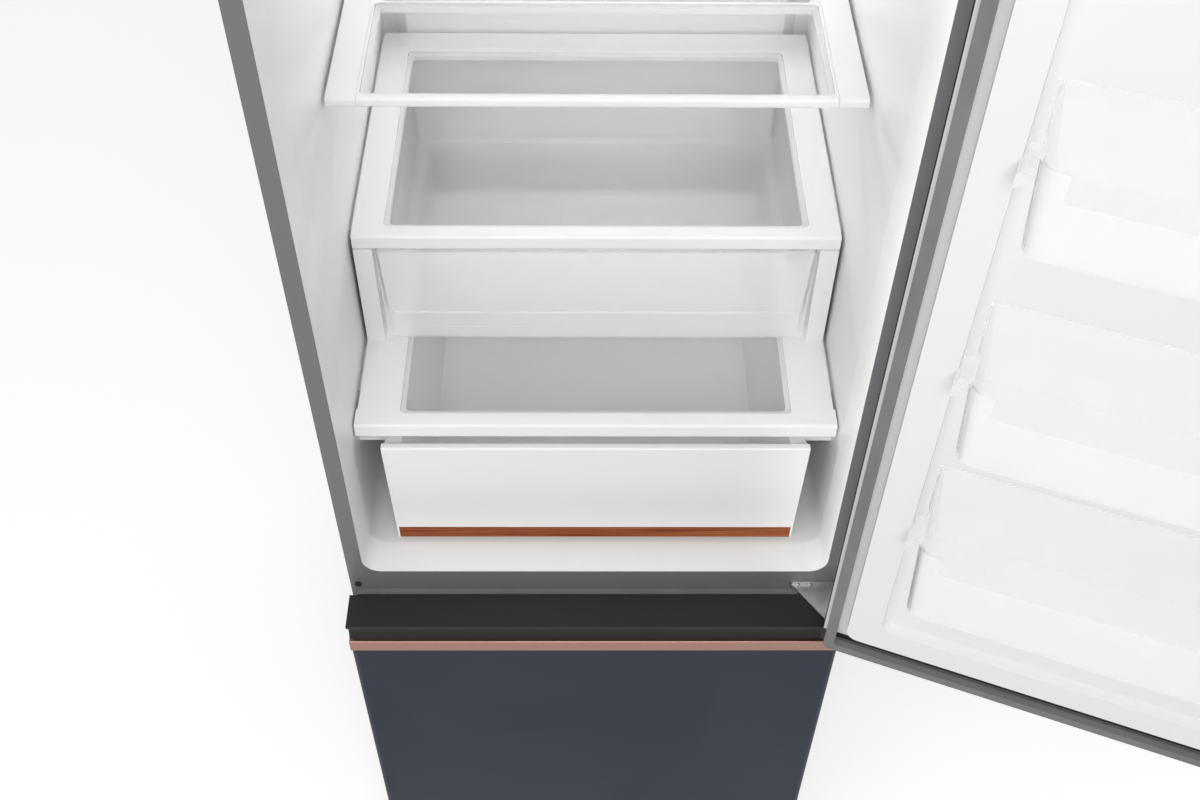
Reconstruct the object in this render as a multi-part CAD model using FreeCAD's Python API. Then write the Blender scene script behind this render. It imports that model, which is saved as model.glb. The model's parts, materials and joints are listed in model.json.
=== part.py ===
"""Bottom freezer refrigerator, 600 mm wide, stored with its upper door open.

Millimetres. X runs to the right seen from the front, Y to the back, Z up.
The origin is on the floor, under the middle of the cabinet.
"""

import FreeCAD
import Part
import math
import os

# Cabinet
CABINET_WIDTH = 600.0
CABINET_DEPTH = 640.0  # front flange to the rear edge of the shell
CABINET_TOP = 1820.0
BASE_HEIGHT = 30.0  # floor to the underside of the base plate
BASE_SIDE = 14.0  # upturned edge of the base plate
SHEET = 1.2  # steel sheet of shell, doors and base
SHELL_RADIUS = 8.0
SIDE_FLANGE = 19.0  # width of the front flange beside the mouth
FIT = 0.3  # clearance between a loose piece and its seat

# Inner liners and the wall that divides them
LINER_WALL = 2.0
SIDE_WALL = 25.0  # outside of the cabinet to the inside of the liner
TOP_WALL = 50.0
FLARE_DEPTH = 40.0  # depth over which the mouth narrows
REAR_WALL = 43.0  # inside of the rear liner to the back of the cabinet
CAVITY_RADIUS = 22.0
FLOOR_RISE = 35.0  # fresh food floor above the freezer front
CEILING_DROP = 32.0  # freezer ceiling below the top of the freezer front
FREEZER_FLOOR = 101.0
RAIL_LIP = 16.0  # fold of the divider rail behind the flange

# Machine compartment
MACHINE_TOP = 240.0
MACHINE_DEPTH = 200.0
MACHINE_WALL = 38.0  # insulation between the freezer and the compartment
COVER_SLOTS = 9
COVER_SLOT_WIDTH = 6.0
COVER_MARGIN = 40.0
BACK_RIBS = 5
BACK_RIB_RADIUS = 5.0
GLAND_RADIUS = 9.0
GLAND_LENGTH = 22.0
GLAND_FLANGE = 4.0

# Refrigeration pieces
COMPRESSOR_RADIUS = 72.0
COMPRESSOR_HEIGHT = 165.0
COMPRESSOR_INSET = 150.0  # from the left side
SEAM_STEP = 3.0
SEAM_HEIGHT = 6.0
TERMINAL_DEPTH = 28.0
TERMINAL_WIDTH = 52.0
GROMMET_HEIGHT = 14.0
GROMMET_RADIUS = 11.0
FOOT_SPREAD = 62.0
COIL_TUBE = 3.0  # radius
CONDENSER_RUNS = 6
CONDENSER_PITCH = 26.0
CONDENSER_LENGTH = 190.0
EVAPORATOR_RUNS = 7
EVAPORATOR_PITCH = 30.0
EVAPORATOR_LENGTH = 300.0
EVAPORATOR_PLATE = 1.5
PAN_HEIGHT = 24.0
PAN_WALL = 2.0

# Freezer air panel and fan
AIR_PANEL = 3.0
AIR_PANEL_GAP = 42.0  # panel to the rear liner
FAN_RADIUS = 52.0
FAN_GAP = 3.0
FAN_HUB = 16.0
FAN_WIDTH = 20.0
FAN_BLADES = 5
BLADE_THICKNESS = 2.0
BLADE_ROOT_PITCH = 50.0
BLADE_TIP_PITCH = 28.0
MOTOR_RADIUS = 19.0
MOTOR_SHAFT = 3.0
ARM_PLATE = 4.0
RUNNING_FIT = 0.05  # radial clearance of pins and shafts
AIR_SLOTS = 5
AIR_SLOT_HEIGHT = 7.0

# Fresh food air duct and lamp
DUCT_SIDE_GAP = 17.0  # air column to the side wall
DUCT_PROUD = 16.0
DUCT_SLOTS = 8
DUCT_SLOT_WIDTH = 60.0
LAMP_WIDTH = 260.0
LAMP_DEPTH = 46.0
LAMP_HEIGHT = 9.0
LAMP_SETBACK = 130.0

# Doors
FREEZER_TOP = 700.0
FREEZER_BOTTOM = 70.0
DOOR_GAP = 8.0  # between the upper door and the freezer front
HINGE_GAP = 4.0  # above and below a door at its hinge plates
SLAB = 46.0  # thickness of a door without its seal
SEAL_DEPTH = 14.0  # back of the door to the flange
SEAL_CLEARANCE = 0.5
SEAL_INSET = 5.5
SEAL_WIDTH = 12.0
SEAL_FOOT = 5.0
LEAF_RADIUS = 8.0
CAP_HEIGHT = 24.0
DOOR_OPEN = 159.0  # degrees, as photographed
DYKE_INSET = 27.0  # door side to the raised frame of its liner
DYKE_EDGE = 13.0  # end of the liner to its raised frame
DYKE_WIDTH = 38.0
DYKE_HEIGHT = 13.0
DYKE_DRAFT = 1.5
DYKE_RADIUS = 14.0
FREEZER_DYKE = 12.0

# Hinges
HINGE_INSET = 10.0  # hinge axis from the side of the door
HINGE_FORWARD = 50.0  # hinge axis from the flange
HINGE_PLATE = 3.0
HINGE_ARM = 36.0
HINGE_SEAT = 90.0  # length of the upper plate on the cabinet
PIN_RADIUS = 4.0
PIN_LENGTH = 20.0
CENTRE_PLATE = 2.0
CENTRE_WIDTH = 60.0
CENTRE_HEIGHT = 14.0
HINGE_COVER_HEIGHT = 22.0
HINGE_COVER_WALL = 2.0

# Grip of the freezer front
GRIP_BAND = 34.0
STRIP_HEIGHT = 19.0
STRIP_DEPTH = 6.0
GRIP_SCOOP = 9.0

# Shelves, measured in from the flange
SHELF_FRONT = 189.0
SHELF_REAR_GAP = 5.0
SHELF_SIDE_GAP = 4.0
SHELF_BODY = 10.0  # thickness of a shelf frame behind its front lip
GLASS = 4.0
GLASS_REST = 6.0  # ledge that carries the glass
SHELF_BORDER = 40.0  # side border of the wide frames
SHELF_CORNER = 6.0
LIP_DEPTH = 23.0
LIP_RADIUS = 4.0
CHILLER_LID_LIP = 20.0
CHILLER_LID_REAR = 46.0
TOP_SHELF_LIP = 20.0
TOP_SHELF_REAR = 30.0
LEDGE_WIDTH = 16.0
LEDGE_HEIGHT = 8.0

# Narrow middle shelf between two side bars
MIDDLE_FRONT = 178.0
MIDDLE_BAR = 30.5  # width of a side bar
MIDDLE_DEPTH = 172.0
MIDDLE_RIM = 8.5
MIDDLE_LIP = 12.0
MIDDLE_BORDER = 13.0
BAR_STEP = 8.0

# Crisper drawer and its glass lid
LID_FRONT = 55.0
LID_LIP = 21.0
LID_SIDE_GAP = 2.0
LID_BORDER = 54.0
LID_FRONT_BORDER = 25.0
LID_REAR = 40.0
CRISPER_FRONT_SETBACK = 45.0
CRISPER_FLOOR_GAP = 5.0
CRISPER_FRONT_HEIGHT = 170.0
CRISPER_FRONT_PANEL = 8.0
CRISPER_FRONT_TAPER = 4.0
CRISPER_SIDE_GAP = 30.0  # front panel to the liner wall
CRISPER_LID_GAP = 8.0
CRISPER_DEPTH = 440.0
CRISPER_WALL = 3.0
CRISPER_RIM = 9.0
CRISPER_RIM_DROP = 5.0  # rim below the top of the front panel
CRISPER_RIM_PLATE = 4.0
CRISPER_SKIRT = 12.0
CRISPER_SKIRT_WALL = 2.5
CRISPER_FLARE = 10.0  # front panel wider than the rim, each side
CRISPER_FLARE_DEPTH = 25.0
CRISPER_DRAFT = 18.0
CRISPER_RADIUS = 20.0
WOOD_HEIGHT = 20.0
WOOD_DEPTH = 5.0
WOOD_END = 2.0
RUNNER_WEB = 8.0
RUNNER_LIP = 3.0

# Chiller drawer
CHILLER_HEIGHT = 144.0  # clear height between the two lids
GUIDE_WIDTH = 21.0
GUIDE_PLATE = 3.0
GUIDE_LEDGE = 14.0
GUIDE_LEDGE_HEIGHT = 1.7
CHILLER_GAP = 2.0  # drawer side to guide
CHILLER_TOP_GAP = 6.0
CHILLER_WALL = 2.5
CHILLER_REAR_GAP = 14.0  # drawer to the rear of its guides
CHILLER_DRAFT = 5.0
CHILLER_RADIUS = 10.0
CHILLER_FRONT = 4.0  # thickness of the flat front
CHILLER_FRONT_TAPER = 3.0
CHILLER_GRIP = 24.0
CHILLER_GRIP_RISE = 20.0  # finger bar above the foot of the front
CHILLER_GRIP_DEPTH = 3.0

# Clear heights above the chiller lid
MIDDLE_CLEAR = 181.0
TOP_CLEAR = 203.0

# Door bins
BIN_HEIGHTS = (110.0, 95.0, 85.0)
BIN_PITCH = 240.0
BIN_FIRST = 24.0  # first bin above the crisper lid
BIN_DEPTH = 112.0
BIN_WALL = 2.5
BIN_DRAFT = 6.0
BIN_RADIUS = 16.0
BIN_FRONT_DROP = 26.0
LUG_WIDTH = 8.0
LUG_HEIGHT = 16.0
LUG_DEPTH = 32.0

# Freezer drawer
RAIL_HEIGHT = 40.0
RAIL_BOTTOM = 480.0
RAIL_DEPTH = 14.0
RAIL_SHEET = 2.0
RAIL_START = 45.0
RAIL_REAR_GAP = 30.0  # runner to the air panel
SLIDE_WEB = 5.0
SLIDE_LEDGE = 20.0
SLIDE_LEDGE_HEIGHT = 4.0
BASKET_BOTTOM = 125.0
BASKET_REAR_GAP = 50.0  # basket to the step over the machine compartment
BASKET_WALL = 3.0
BASKET_DRAFT = 24.0
BASKET_RADIUS = 22.0
BASKET_RIM = 8.0
BASKET_FRONT_GAP = 14.0
TRAY_HEIGHT = 85.0
TRAY_REAR_GAP = 60.0
TRAY_WALL = 2.5
TRAY_DRAFT = 8.0

# Feet, rollers and kick plate
FOOT_RADIUS = 20.0
FOOT_HEIGHT = 12.0
STEM_RADIUS = 5.0
STEM_LENGTH = 30.0
BOSS_WALL = 5.0
FOOT_INSET = 50.0
FOOT_SETBACK = 40.0
ROLLER_RADIUS = 13.0
ROLLER_WIDTH = 18.0
ROLLER_GROOVE = 2.5
ROLLER_GAP = 3.0
AXLE_RADIUS = 3.0
ROLLER_INSET = 45.0
ROLLER_SETBACK = 60.0  # from the rear of the cabinet
YOKE_PLATE = 3.0
KICK_SETBACK = 12.0
KICK_PLATE = 2.5
KICK_FLOOR_GAP = 14.0
KICK_TOP_GAP = 4.0
KICK_SLOTS = 14
KICK_SLOT_WIDTH = 5.0

# Derived places
HALF = CABINET_WIDTH / 2
FRONT = -CABINET_DEPTH / 2
REAR = CABINET_DEPTH / 2
INNER_HALF = HALF - SHEET
BASE_TOP = BASE_HEIGHT + SHEET
CAVITY_HALF = HALF - SIDE_WALL
FLARE = SIDE_WALL - SIDE_FLANGE
MOUTH_HALF = CAVITY_HALF + FLARE
FRIDGE_FLOOR = FREEZER_TOP + FLOOR_RISE
FRIDGE_CEILING = CABINET_TOP - TOP_WALL
FREEZER_CEILING = FREEZER_TOP - CEILING_DROP
MACHINE_FRONT = REAR - MACHINE_DEPTH
STEP_TOP = MACHINE_TOP + MACHINE_WALL
STEP_FRONT = MACHINE_FRONT - MACHINE_WALL
CAVITY_DEPTH = CABINET_DEPTH - REAR_WALL
CAVITY_REAR = FRONT + CAVITY_DEPTH
SLAB_REAR = FRONT - SEAL_DEPTH
SLAB_FRONT = SLAB_REAR - SLAB
DOOR_BOTTOM = FREEZER_TOP + DOOR_GAP
DOOR_TOP = CABINET_TOP - HINGE_GAP
HINGE_X = HALF - HINGE_INSET
HINGE_Y = FRONT - HINGE_FORWARD
SHELF_HALF = CAVITY_HALF - SHELF_SIDE_GAP
SHELF_REAR = CAVITY_DEPTH - SHELF_REAR_GAP - DUCT_PROUD
MIDDLE_HALF = SHELF_HALF - MIDDLE_BAR
CRISPER_BOTTOM = FRIDGE_FLOOR + CRISPER_FLOOR_GAP
CRISPER_TOP = CRISPER_BOTTOM + CRISPER_FRONT_HEIGHT
LID_TOP = CRISPER_TOP + CRISPER_LID_GAP + LID_LIP
CHILLER_LID_TOP = LID_TOP + CHILLER_HEIGHT + CHILLER_LID_LIP
MIDDLE_TOP = CHILLER_LID_TOP + MIDDLE_CLEAR + MIDDLE_LIP
TOP_SHELF_TOP = MIDDLE_TOP + TOP_CLEAR + TOP_SHELF_LIP
AIR_PANEL_Y = CAVITY_REAR - AIR_PANEL_GAP
RAIL_REAR = AIR_PANEL_Y - RAIL_REAR_GAP
FAN_Z = FREEZER_CEILING - FAN_RADIUS - 2 * AIR_SLOT_HEIGHT
GRIP_BOTTOM = FREEZER_TOP - GRIP_BAND - STRIP_HEIGHT
BOSS_RADIUS = STEM_RADIUS + BOSS_WALL
BOSS_HEIGHT = STEM_LENGTH + FOOT_HEIGHT - BASE_TOP + BOSS_WALL

X = FreeCAD.Vector(1, 0, 0)
Y = FreeCAD.Vector(0, 1, 0)
Z = FreeCAD.Vector(0, 0, 1)
ORIGIN = FreeCAD.Vector(0, 0, 0)


def point(x, y, z):
    return FreeCAD.Vector(x, y, z)


def deep(distance):
    """Y of a place that lies this far behind the front flange."""
    return FRONT + distance


def block(x0, x1, y0, y1, z0, z1):
    return Part.makeBox(x1 - x0, y1 - y0, z1 - z0, point(x0, y0, z0))


def mirrored(shape):
    return shape.mirror(ORIGIN, X)


def both_sides(shape):
    """The piece and its mirror image on the other side of the cabinet."""
    return [shape, mirrored(shape)]


def joined(shapes):
    return shapes[0].multiFuse(shapes[1:]).removeSplitter()


def rounded(u0, u1, v0, v1, radius, place):
    """Closed wire of a rectangle with round corners; place turns (u, v) into a point."""
    inset = radius * (1 - math.sqrt(0.5))
    corners = ((u1, v0, -1, 1), (u1, v1, -1, -1), (u0, v1, 1, -1), (u0, v0, 1, 1))
    arcs = []
    for number, (u, v, du, dv) in enumerate(corners):
        along = place(u + du * radius, v)
        upward = place(u, v + dv * radius)
        middle = place(u + du * inset, v + dv * inset)
        start, end = (along, upward) if number % 2 == 0 else (upward, along)
        arcs.append(Part.Arc(start, middle, end).toShape())
    edges = []
    for number, arc in enumerate(arcs):
        before = arcs[number - 1]
        edges.append(Part.makeLine(before.lastVertex().Point, arc.firstVertex().Point))
        edges.append(arc)
    return Part.Wire(edges)


def rounded_xy(x0, x1, y0, y1, z, radius):
    return rounded(x0, x1, y0, y1, radius, lambda u, v: point(u, v, z))


def rounded_xz(x0, x1, z0, z1, y, radius):
    return rounded(x0, x1, z0, z1, radius, lambda u, v: point(u, y, v))


def plate_xy(x0, x1, y0, y1, z0, z1, radius):
    return Part.Face(rounded_xy(x0, x1, y0, y1, z0, radius)).extrude(Z * (z1 - z0))


def plate_xz(x0, x1, z0, z1, y0, y1, radius):
    return Part.Face(rounded_xz(x0, x1, z0, z1, y0, radius)).extrude(Y * (y1 - y0))


def extruded(points, along):
    """Prism of a closed outline of straight edges."""
    return Part.Face(Part.makePolygon([*points, points[0]])).extrude(along)


def profile_yz(points, x0, x1):
    return extruded([point(x0, y, z) for y, z in points], X * (x1 - x0))


def profile_xz(points, y0, y1):
    return extruded([point(x, y0, z) for x, z in points], Y * (y1 - y0))


def profile_xy(points, z0, z1):
    return extruded([point(x, y, z0) for x, y in points], Z * (z1 - z0))


def lofted(*wires):
    return Part.makeLoft(list(wires), True, True)


def cylinder_z(x, y, z0, z1, radius):
    return Part.makeCylinder(radius, z1 - z0, point(x, y, z0), Z)


def cylinder_y(x, z, y0, y1, radius):
    return Part.makeCylinder(radius, y1 - y0, point(x, y0, z), Y)


def cylinder_x(y, z, x0, x1, radius):
    return Part.makeCylinder(radius, x1 - x0, point(x0, y, z), X)


def spread(count, first, last):
    """Evenly spaced places from first to last."""
    return [first + (last - first) * n / (count - 1) for n in range(count)]


def tub(half, y0, y1, z0, z1, draft, wall, radius):
    """Open box whose walls lean out by draft from the floor to the rim."""

    def skin(inset, low):
        bottom = rounded_xy(
            -half + draft + inset, half - draft - inset,
            y0 + draft + inset, y1 - draft - inset, low, radius - inset,
        )
        top = rounded_xy(-half + inset, half - inset, y0 + inset, y1 - inset, z1, radius - inset)
        return lofted(bottom, top)

    return skin(0, z0).cut(skin(wall, z0 + wall))


def serpentine(runs, pitch, length, corner, across, step, radius):
    """One unbroken tube of straight runs joined by half circles, with its least gap to itself."""
    edges = []
    here = corner
    for number in range(runs):
        forward = across if number % 2 == 0 else across * -1
        there = here + forward * length
        edges.append(Part.makeLine(here, there))
        if number < runs - 1:
            turned = there + step * pitch
            bulge = there + step * (pitch / 2) + forward * (pitch / 2)
            edges.append(Part.Arc(there, bulge, turned).toShape())
            here = turned
    path = Part.Wire(edges)
    section = Part.Wire([Part.makeCircle(radius, corner, across)])
    tube = path.makePipeShell([section], True, False)
    print("coil gap to itself", round(pitch - 2 * radius, 2), "mm")
    print("coil volume ratio", round(tube.Volume / (math.pi * radius**2 * path.Length), 4))
    return tube


def cavity(floor, ceiling, offset):
    """Inside of a compartment, or its outside when offset is the liner's wall."""
    half = CAVITY_HALF + offset
    low = floor - offset
    high = ceiling + offset
    radius = CAVITY_RADIUS + offset
    mouth = rounded_xz(-half - FLARE, half + FLARE, low - FLARE, high + FLARE, deep(SHEET), radius)
    throat = rounded_xz(-half, half, low, high, deep(FLARE_DEPTH), radius)
    straight = plate_xz(-half, half, low, high, deep(FLARE_DEPTH), CAVITY_REAR + offset, radius)
    return lofted(mouth, throat).fuse(straight).removeSplitter()


def fridge_cavity(offset):
    return cavity(FRIDGE_FLOOR, FRIDGE_CEILING, offset)


def freezer_cavity(offset):
    """Freezer space, stepped forward over the machine compartment."""
    step = block(
        -HALF, HALF, STEP_FRONT + offset, REAR, FREEZER_FLOOR - LINER_WALL - FLARE, STEP_TOP - offset
    )
    return cavity(FREEZER_FLOOR, FREEZER_CEILING, offset).cut(step)


def cabinet_shell():
    """Steel wrapper: sides and top in one folded sheet, with the front flange and divider rail."""

    def outline(inset, low, y0, y1):
        wire = rounded_xz(
            -HALF + inset, HALF - inset, low - 2 * SHELL_RADIUS, CABINET_TOP - inset, y0,
            SHELL_RADIUS - inset,
        )
        body = Part.Face(wire).extrude(Y * (y1 - y0))
        return body.common(block(-HALF, HALF, y0, y1, low, CABINET_TOP))

    wrapper = outline(0, BASE_HEIGHT, FRONT, REAR).cut(outline(SHEET, BASE_HEIGHT, FRONT, REAR))
    flange = outline(0, BASE_HEIGHT, FRONT, deep(SHEET))
    for floor, ceiling in ((FRIDGE_FLOOR, FRIDGE_CEILING), (FREEZER_FLOOR, FREEZER_CEILING)):
        flange = flange.cut(plate_xz(
            -MOUTH_HALF, MOUTH_HALF, floor - FLARE, ceiling + FLARE, FRONT, deep(SHEET), CAVITY_RADIUS
        ))
    below = block(-MOUTH_HALF, MOUTH_HALF, FRONT, deep(SHEET), BASE_HEIGHT, FREEZER_FLOOR - FLARE)
    return joined([wrapper, flange.cut(below), divider_rail()])


def fridge_liner():
    """Formed plastic lining with a ledge on each side under every shelf and the crisper's runners."""
    shell = fridge_cavity(LINER_WALL).cut(fridge_cavity(0))
    places = (
        (CHILLER_LID_TOP - SHELF_BODY, SHELF_FRONT + LIP_DEPTH),
        (MIDDLE_TOP - MIDDLE_LIP, MIDDLE_FRONT + LIP_DEPTH),
        (TOP_SHELF_TOP - SHELF_BODY, SHELF_FRONT + LIP_DEPTH),
        (LID_TOP - SHELF_BODY, LID_FRONT + LIP_DEPTH + FLARE_DEPTH),
    )
    ledges = []
    for top, start in places:
        tip = CAVITY_HALF - LEDGE_WIDTH
        root = CAVITY_HALF + LINER_WALL / 2
        outline = (
            (root, top), (tip, top), (tip, top - LEDGE_HEIGHT / 2),
            (tip + LEDGE_HEIGHT / 2, top - LEDGE_HEIGHT), (root, top - LEDGE_HEIGHT),
        )
        ledge = profile_xz(outline, deep(start), deep(SHELF_REAR))
        ledges += both_sides(ledge)
    return joined([shell, *ledges, *crisper_runners()])


def freezer_liner():
    return freezer_cavity(LINER_WALL).cut(freezer_cavity(0))


def divider_rail():
    """Folded steel rail across the front between the two compartments."""
    low = FREEZER_CEILING + FLARE
    high = FRIDGE_FLOOR - FLARE
    face = block(-MOUTH_HALF, MOUTH_HALF, FRONT, deep(SHEET), low, high)
    inner_low = low + LINER_WALL + SHEET
    inner_high = high - LINER_WALL - SHEET
    back = (
        (deep(SHEET), inner_low), (deep(SHEET), inner_low + SHEET),
        (deep(RAIL_LIP), inner_low + SHEET), (deep(RAIL_LIP), inner_low),
    )
    lower = profile_yz(back, -MOUTH_HALF, MOUTH_HALF)
    upper = lower.copy()
    upper.translate(Z * (inner_high - inner_low - SHEET))
    return joined([face, lower, upper])


def base_plate():
    """Folded steel floor with the lower front rail, and the sheets and brackets welded to it."""
    floor = block(-INNER_HALF, INNER_HALF, FRONT + SHEET, REAR, BASE_HEIGHT, BASE_TOP)
    rail_top = FREEZER_FLOOR - FLARE
    rail = block(-MOUTH_HALF, MOUTH_HALF, FRONT, deep(SHEET), BASE_HEIGHT, rail_top)
    side = block(
        INNER_HALF - SHEET, INNER_HALF, FRONT + SHEET, MACHINE_FRONT, BASE_TOP, BASE_TOP + BASE_SIDE
    )
    plate = joined([floor, rail, *both_sides(side)])
    for x, y in foot_places():
        plate = plate.cut(cylinder_z(x, y, BASE_HEIGHT, BASE_TOP, STEM_RADIUS + FIT))
    return joined([plate, machine_bulkhead(), *foot_bosses(), *roller_yokes()])


def foot_places():
    return [(side * (HALF - FOOT_INSET), deep(FOOT_SETBACK)) for side in (-1, 1)]


def machine_bulkhead():
    """Bent sheet that closes the foam off from the machine compartment."""
    outline = (
        (MACHINE_FRONT, BASE_TOP), (MACHINE_FRONT, MACHINE_TOP), (REAR - SHEET, MACHINE_TOP),
        (REAR - SHEET, MACHINE_TOP + SHEET), (MACHINE_FRONT - SHEET, MACHINE_TOP + SHEET),
        (MACHINE_FRONT - SHEET, BASE_TOP),
    )
    return profile_yz(outline, -INNER_HALF, INNER_HALF)


def insulation_foam():
    """Foam between the shell and the two liners."""
    body = block(-INNER_HALF, INNER_HALF, deep(SHEET), REAR - SHEET, BASE_TOP, CABINET_TOP - SHEET)
    crown = rounded_xz(
        -INNER_HALF, INNER_HALF, -CABINET_TOP, CABINET_TOP - SHEET, deep(SHEET), SHELL_RADIUS - SHEET
    )
    body = body.common(Part.Face(crown).extrude(Y * CABINET_DEPTH))
    machine = block(
        -INNER_HALF, INNER_HALF, MACHINE_FRONT - SHEET, REAR, BASE_TOP, MACHINE_TOP + SHEET
    )
    body = body.cut(fridge_cavity(LINER_WALL)).cut(freezer_cavity(LINER_WALL)).cut(machine)
    side = block(
        INNER_HALF - SHEET, INNER_HALF, deep(SHEET), MACHINE_FRONT, BASE_TOP, BASE_TOP + BASE_SIDE
    )
    for edge in both_sides(side):
        body = body.cut(edge)
    for x, y in foot_places():
        body = body.cut(cylinder_z(x, y, BASE_TOP, BASE_TOP + BOSS_HEIGHT, BOSS_RADIUS))
    return body.cut(divider_rail())


def foot_bosses():
    """Blind nuts above the base plate that carry the levelling feet."""
    bosses = []
    for x, y in foot_places():
        boss = cylinder_z(x, y, BASE_TOP, BASE_TOP + BOSS_HEIGHT, BOSS_RADIUS)
        stem_top = FOOT_HEIGHT + STEM_LENGTH + FIT
        bosses.append(boss.cut(cylinder_z(x, y, BASE_HEIGHT, stem_top, STEM_RADIUS + RUNNING_FIT)))
    return bosses


def levelling_foot(x, y):
    """Turned foot: a wide pad, a six-sided spanner collar and its stem."""
    pad = Part.makeCone(
        FOOT_RADIUS, FOOT_RADIUS * 0.8, FOOT_HEIGHT * 0.6, point(x, y, 0), Z
    )
    across = FOOT_RADIUS * 0.55
    collar_points = [
        (x + across * math.cos(math.radians(a)), y + across * math.sin(math.radians(a)))
        for a in range(0, 360, 60)
    ]
    collar = profile_xy(collar_points, FOOT_HEIGHT * 0.6, FOOT_HEIGHT)
    stem = cylinder_z(x, y, FOOT_HEIGHT * 0.6, FOOT_HEIGHT + STEM_LENGTH, STEM_RADIUS)
    return joined([pad, collar, stem])


def roller_place(side):
    return side * (HALF - ROLLER_INSET), REAR - ROLLER_SETBACK


def rear_roller(side):
    x, y = roller_place(side)
    wheel = cylinder_x(y, ROLLER_RADIUS, x - ROLLER_WIDTH / 2, x + ROLLER_WIDTH / 2, ROLLER_RADIUS)
    bore = cylinder_x(
        y, ROLLER_RADIUS, x - ROLLER_WIDTH, x + ROLLER_WIDTH, AXLE_RADIUS + RUNNING_FIT
    )
    groove = Part.makeTorus(ROLLER_RADIUS, ROLLER_GROOVE, point(x, y, ROLLER_RADIUS), X)
    return wheel.cut(bore).cut(groove)


def roller_yokes():
    """Axles of the rear rollers, each in a yoke of two cheeks under the base plate."""
    yokes = []
    for side in (-1, 1):
        x, y = roller_place(side)
        reach = ROLLER_WIDTH / 2 + ROLLER_GAP
        axle = cylinder_x(
            y, ROLLER_RADIUS, x - reach - YOKE_PLATE, x + reach + YOKE_PLATE, AXLE_RADIUS
        )
        cheeks = []
        for start in (x - reach - YOKE_PLATE, x + reach):
            width = ROLLER_RADIUS * 0.7
            cheek = profile_yz(
                (
                    (y - width, BASE_HEIGHT), (y - AXLE_RADIUS * 2, ROLLER_RADIUS - AXLE_RADIUS * 2),
                    (y + AXLE_RADIUS * 2, ROLLER_RADIUS - AXLE_RADIUS * 2), (y + width, BASE_HEIGHT),
                ),
                start, start + YOKE_PLATE,
            )
            cheeks.append(cheek)
        yokes.append(joined([axle, *cheeks]))
    return yokes


def kick_plate():
    """Vented plate below the freezer front, clipped to the base rail."""
    top = FREEZER_BOTTOM - KICK_TOP_GAP
    face_y = deep(-KICK_SETBACK)
    panel = plate_xz(
        -MOUTH_HALF, MOUTH_HALF, KICK_FLOOR_GAP, top, face_y, face_y + KICK_PLATE, SHELL_RADIUS
    )
    clip = block(
        MOUTH_HALF / 2, MOUTH_HALF / 2 + RAIL_LIP, face_y + KICK_PLATE, FRONT,
        BASE_HEIGHT + KICK_SLOT_WIDTH, BASE_HEIGHT + KICK_SLOT_WIDTH * 2,
    )
    panel = joined([panel, *both_sides(clip)])
    margin = SIDE_FLANGE * 2
    for x in spread(KICK_SLOTS, -MOUTH_HALF + margin, MOUTH_HALF - margin):
        slot = plate_xz(
            x - KICK_SLOT_WIDTH, x + KICK_SLOT_WIDTH, KICK_FLOOR_GAP * 1.6, top - KICK_FLOOR_GAP * 0.6,
            face_y - FIT, face_y + KICK_PLATE + FIT, KICK_SLOT_WIDTH * 0.9,
        )
        panel = panel.cut(slot)
    return panel


def back_panel():
    """Rear sheet above the machine compartment, stiffened by pressed ribs."""
    low = MACHINE_TOP + SHEET
    outline = plate_xz(
        -INNER_HALF, INNER_HALF, low - SHELL_RADIUS * 2, CABINET_TOP - SHEET, REAR - SHEET, REAR,
        SHELL_RADIUS - SHEET,
    )
    sheet = outline.common(block(-HALF, HALF, REAR - SHEET, REAR, low, CABINET_TOP))
    ribs = []
    for x in spread(BACK_RIBS, -HALF * 0.7, HALF * 0.7):
        rib = Part.makeCylinder(
            BACK_RIB_RADIUS, CABINET_TOP - low - TOP_WALL * 2, point(x, REAR - SHEET, low + TOP_WALL), Z
        )
        outer = block(-HALF, HALF, REAR - SHEET, REAR + BACK_RIB_RADIUS, low, CABINET_TOP)
        ribs.append(rib.common(outer))
    return joined([sheet, *ribs])


def machine_cover():
    """Louvred rear cover of the machine compartment, with the hole of the cord gland."""
    cover = plate_xz(
        -INNER_HALF + FIT, INNER_HALF - FIT, BASE_TOP + FIT, MACHINE_TOP - FIT,
        REAR - SHEET, REAR, SHELL_RADIUS,
    )
    for x in spread(COVER_SLOTS, COVER_MARGIN, HALF - COVER_MARGIN):
        slot = plate_xz(
            x - COVER_SLOT_WIDTH / 2, x + COVER_SLOT_WIDTH / 2,
            BASE_TOP + COVER_MARGIN, MACHINE_TOP - COVER_MARGIN,
            REAR - SHEET * 2, REAR + SHEET, COVER_SLOT_WIDTH * 0.4,
        )
        cover = cover.cut(slot)
    x, z = gland_place()
    return cover.cut(cylinder_y(x, z, REAR - SHEET * 2, REAR + SHEET, GLAND_RADIUS))


def gland_place():
    return -HALF + COVER_MARGIN * 1.5, BASE_TOP + COVER_MARGIN


def cord_gland():
    """Bush where the supply lead would enter: a flange outside and a hollow neck inside."""
    x, z = gland_place()
    neck = cylinder_y(x, z, REAR - GLAND_LENGTH, REAR + GLAND_FLANGE, GLAND_RADIUS)
    collar = cylinder_y(x, z, REAR, REAR + GLAND_FLANGE, GLAND_RADIUS * 1.5)
    bore = cylinder_y(x, z, REAR - GLAND_LENGTH * 2, REAR + GLAND_LENGTH, GLAND_RADIUS * 0.45)
    return joined([neck, collar]).cut(bore)


def compressor_centre():
    return COMPRESSOR_INSET - HALF, MACHINE_FRONT + MACHINE_DEPTH / 2


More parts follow.
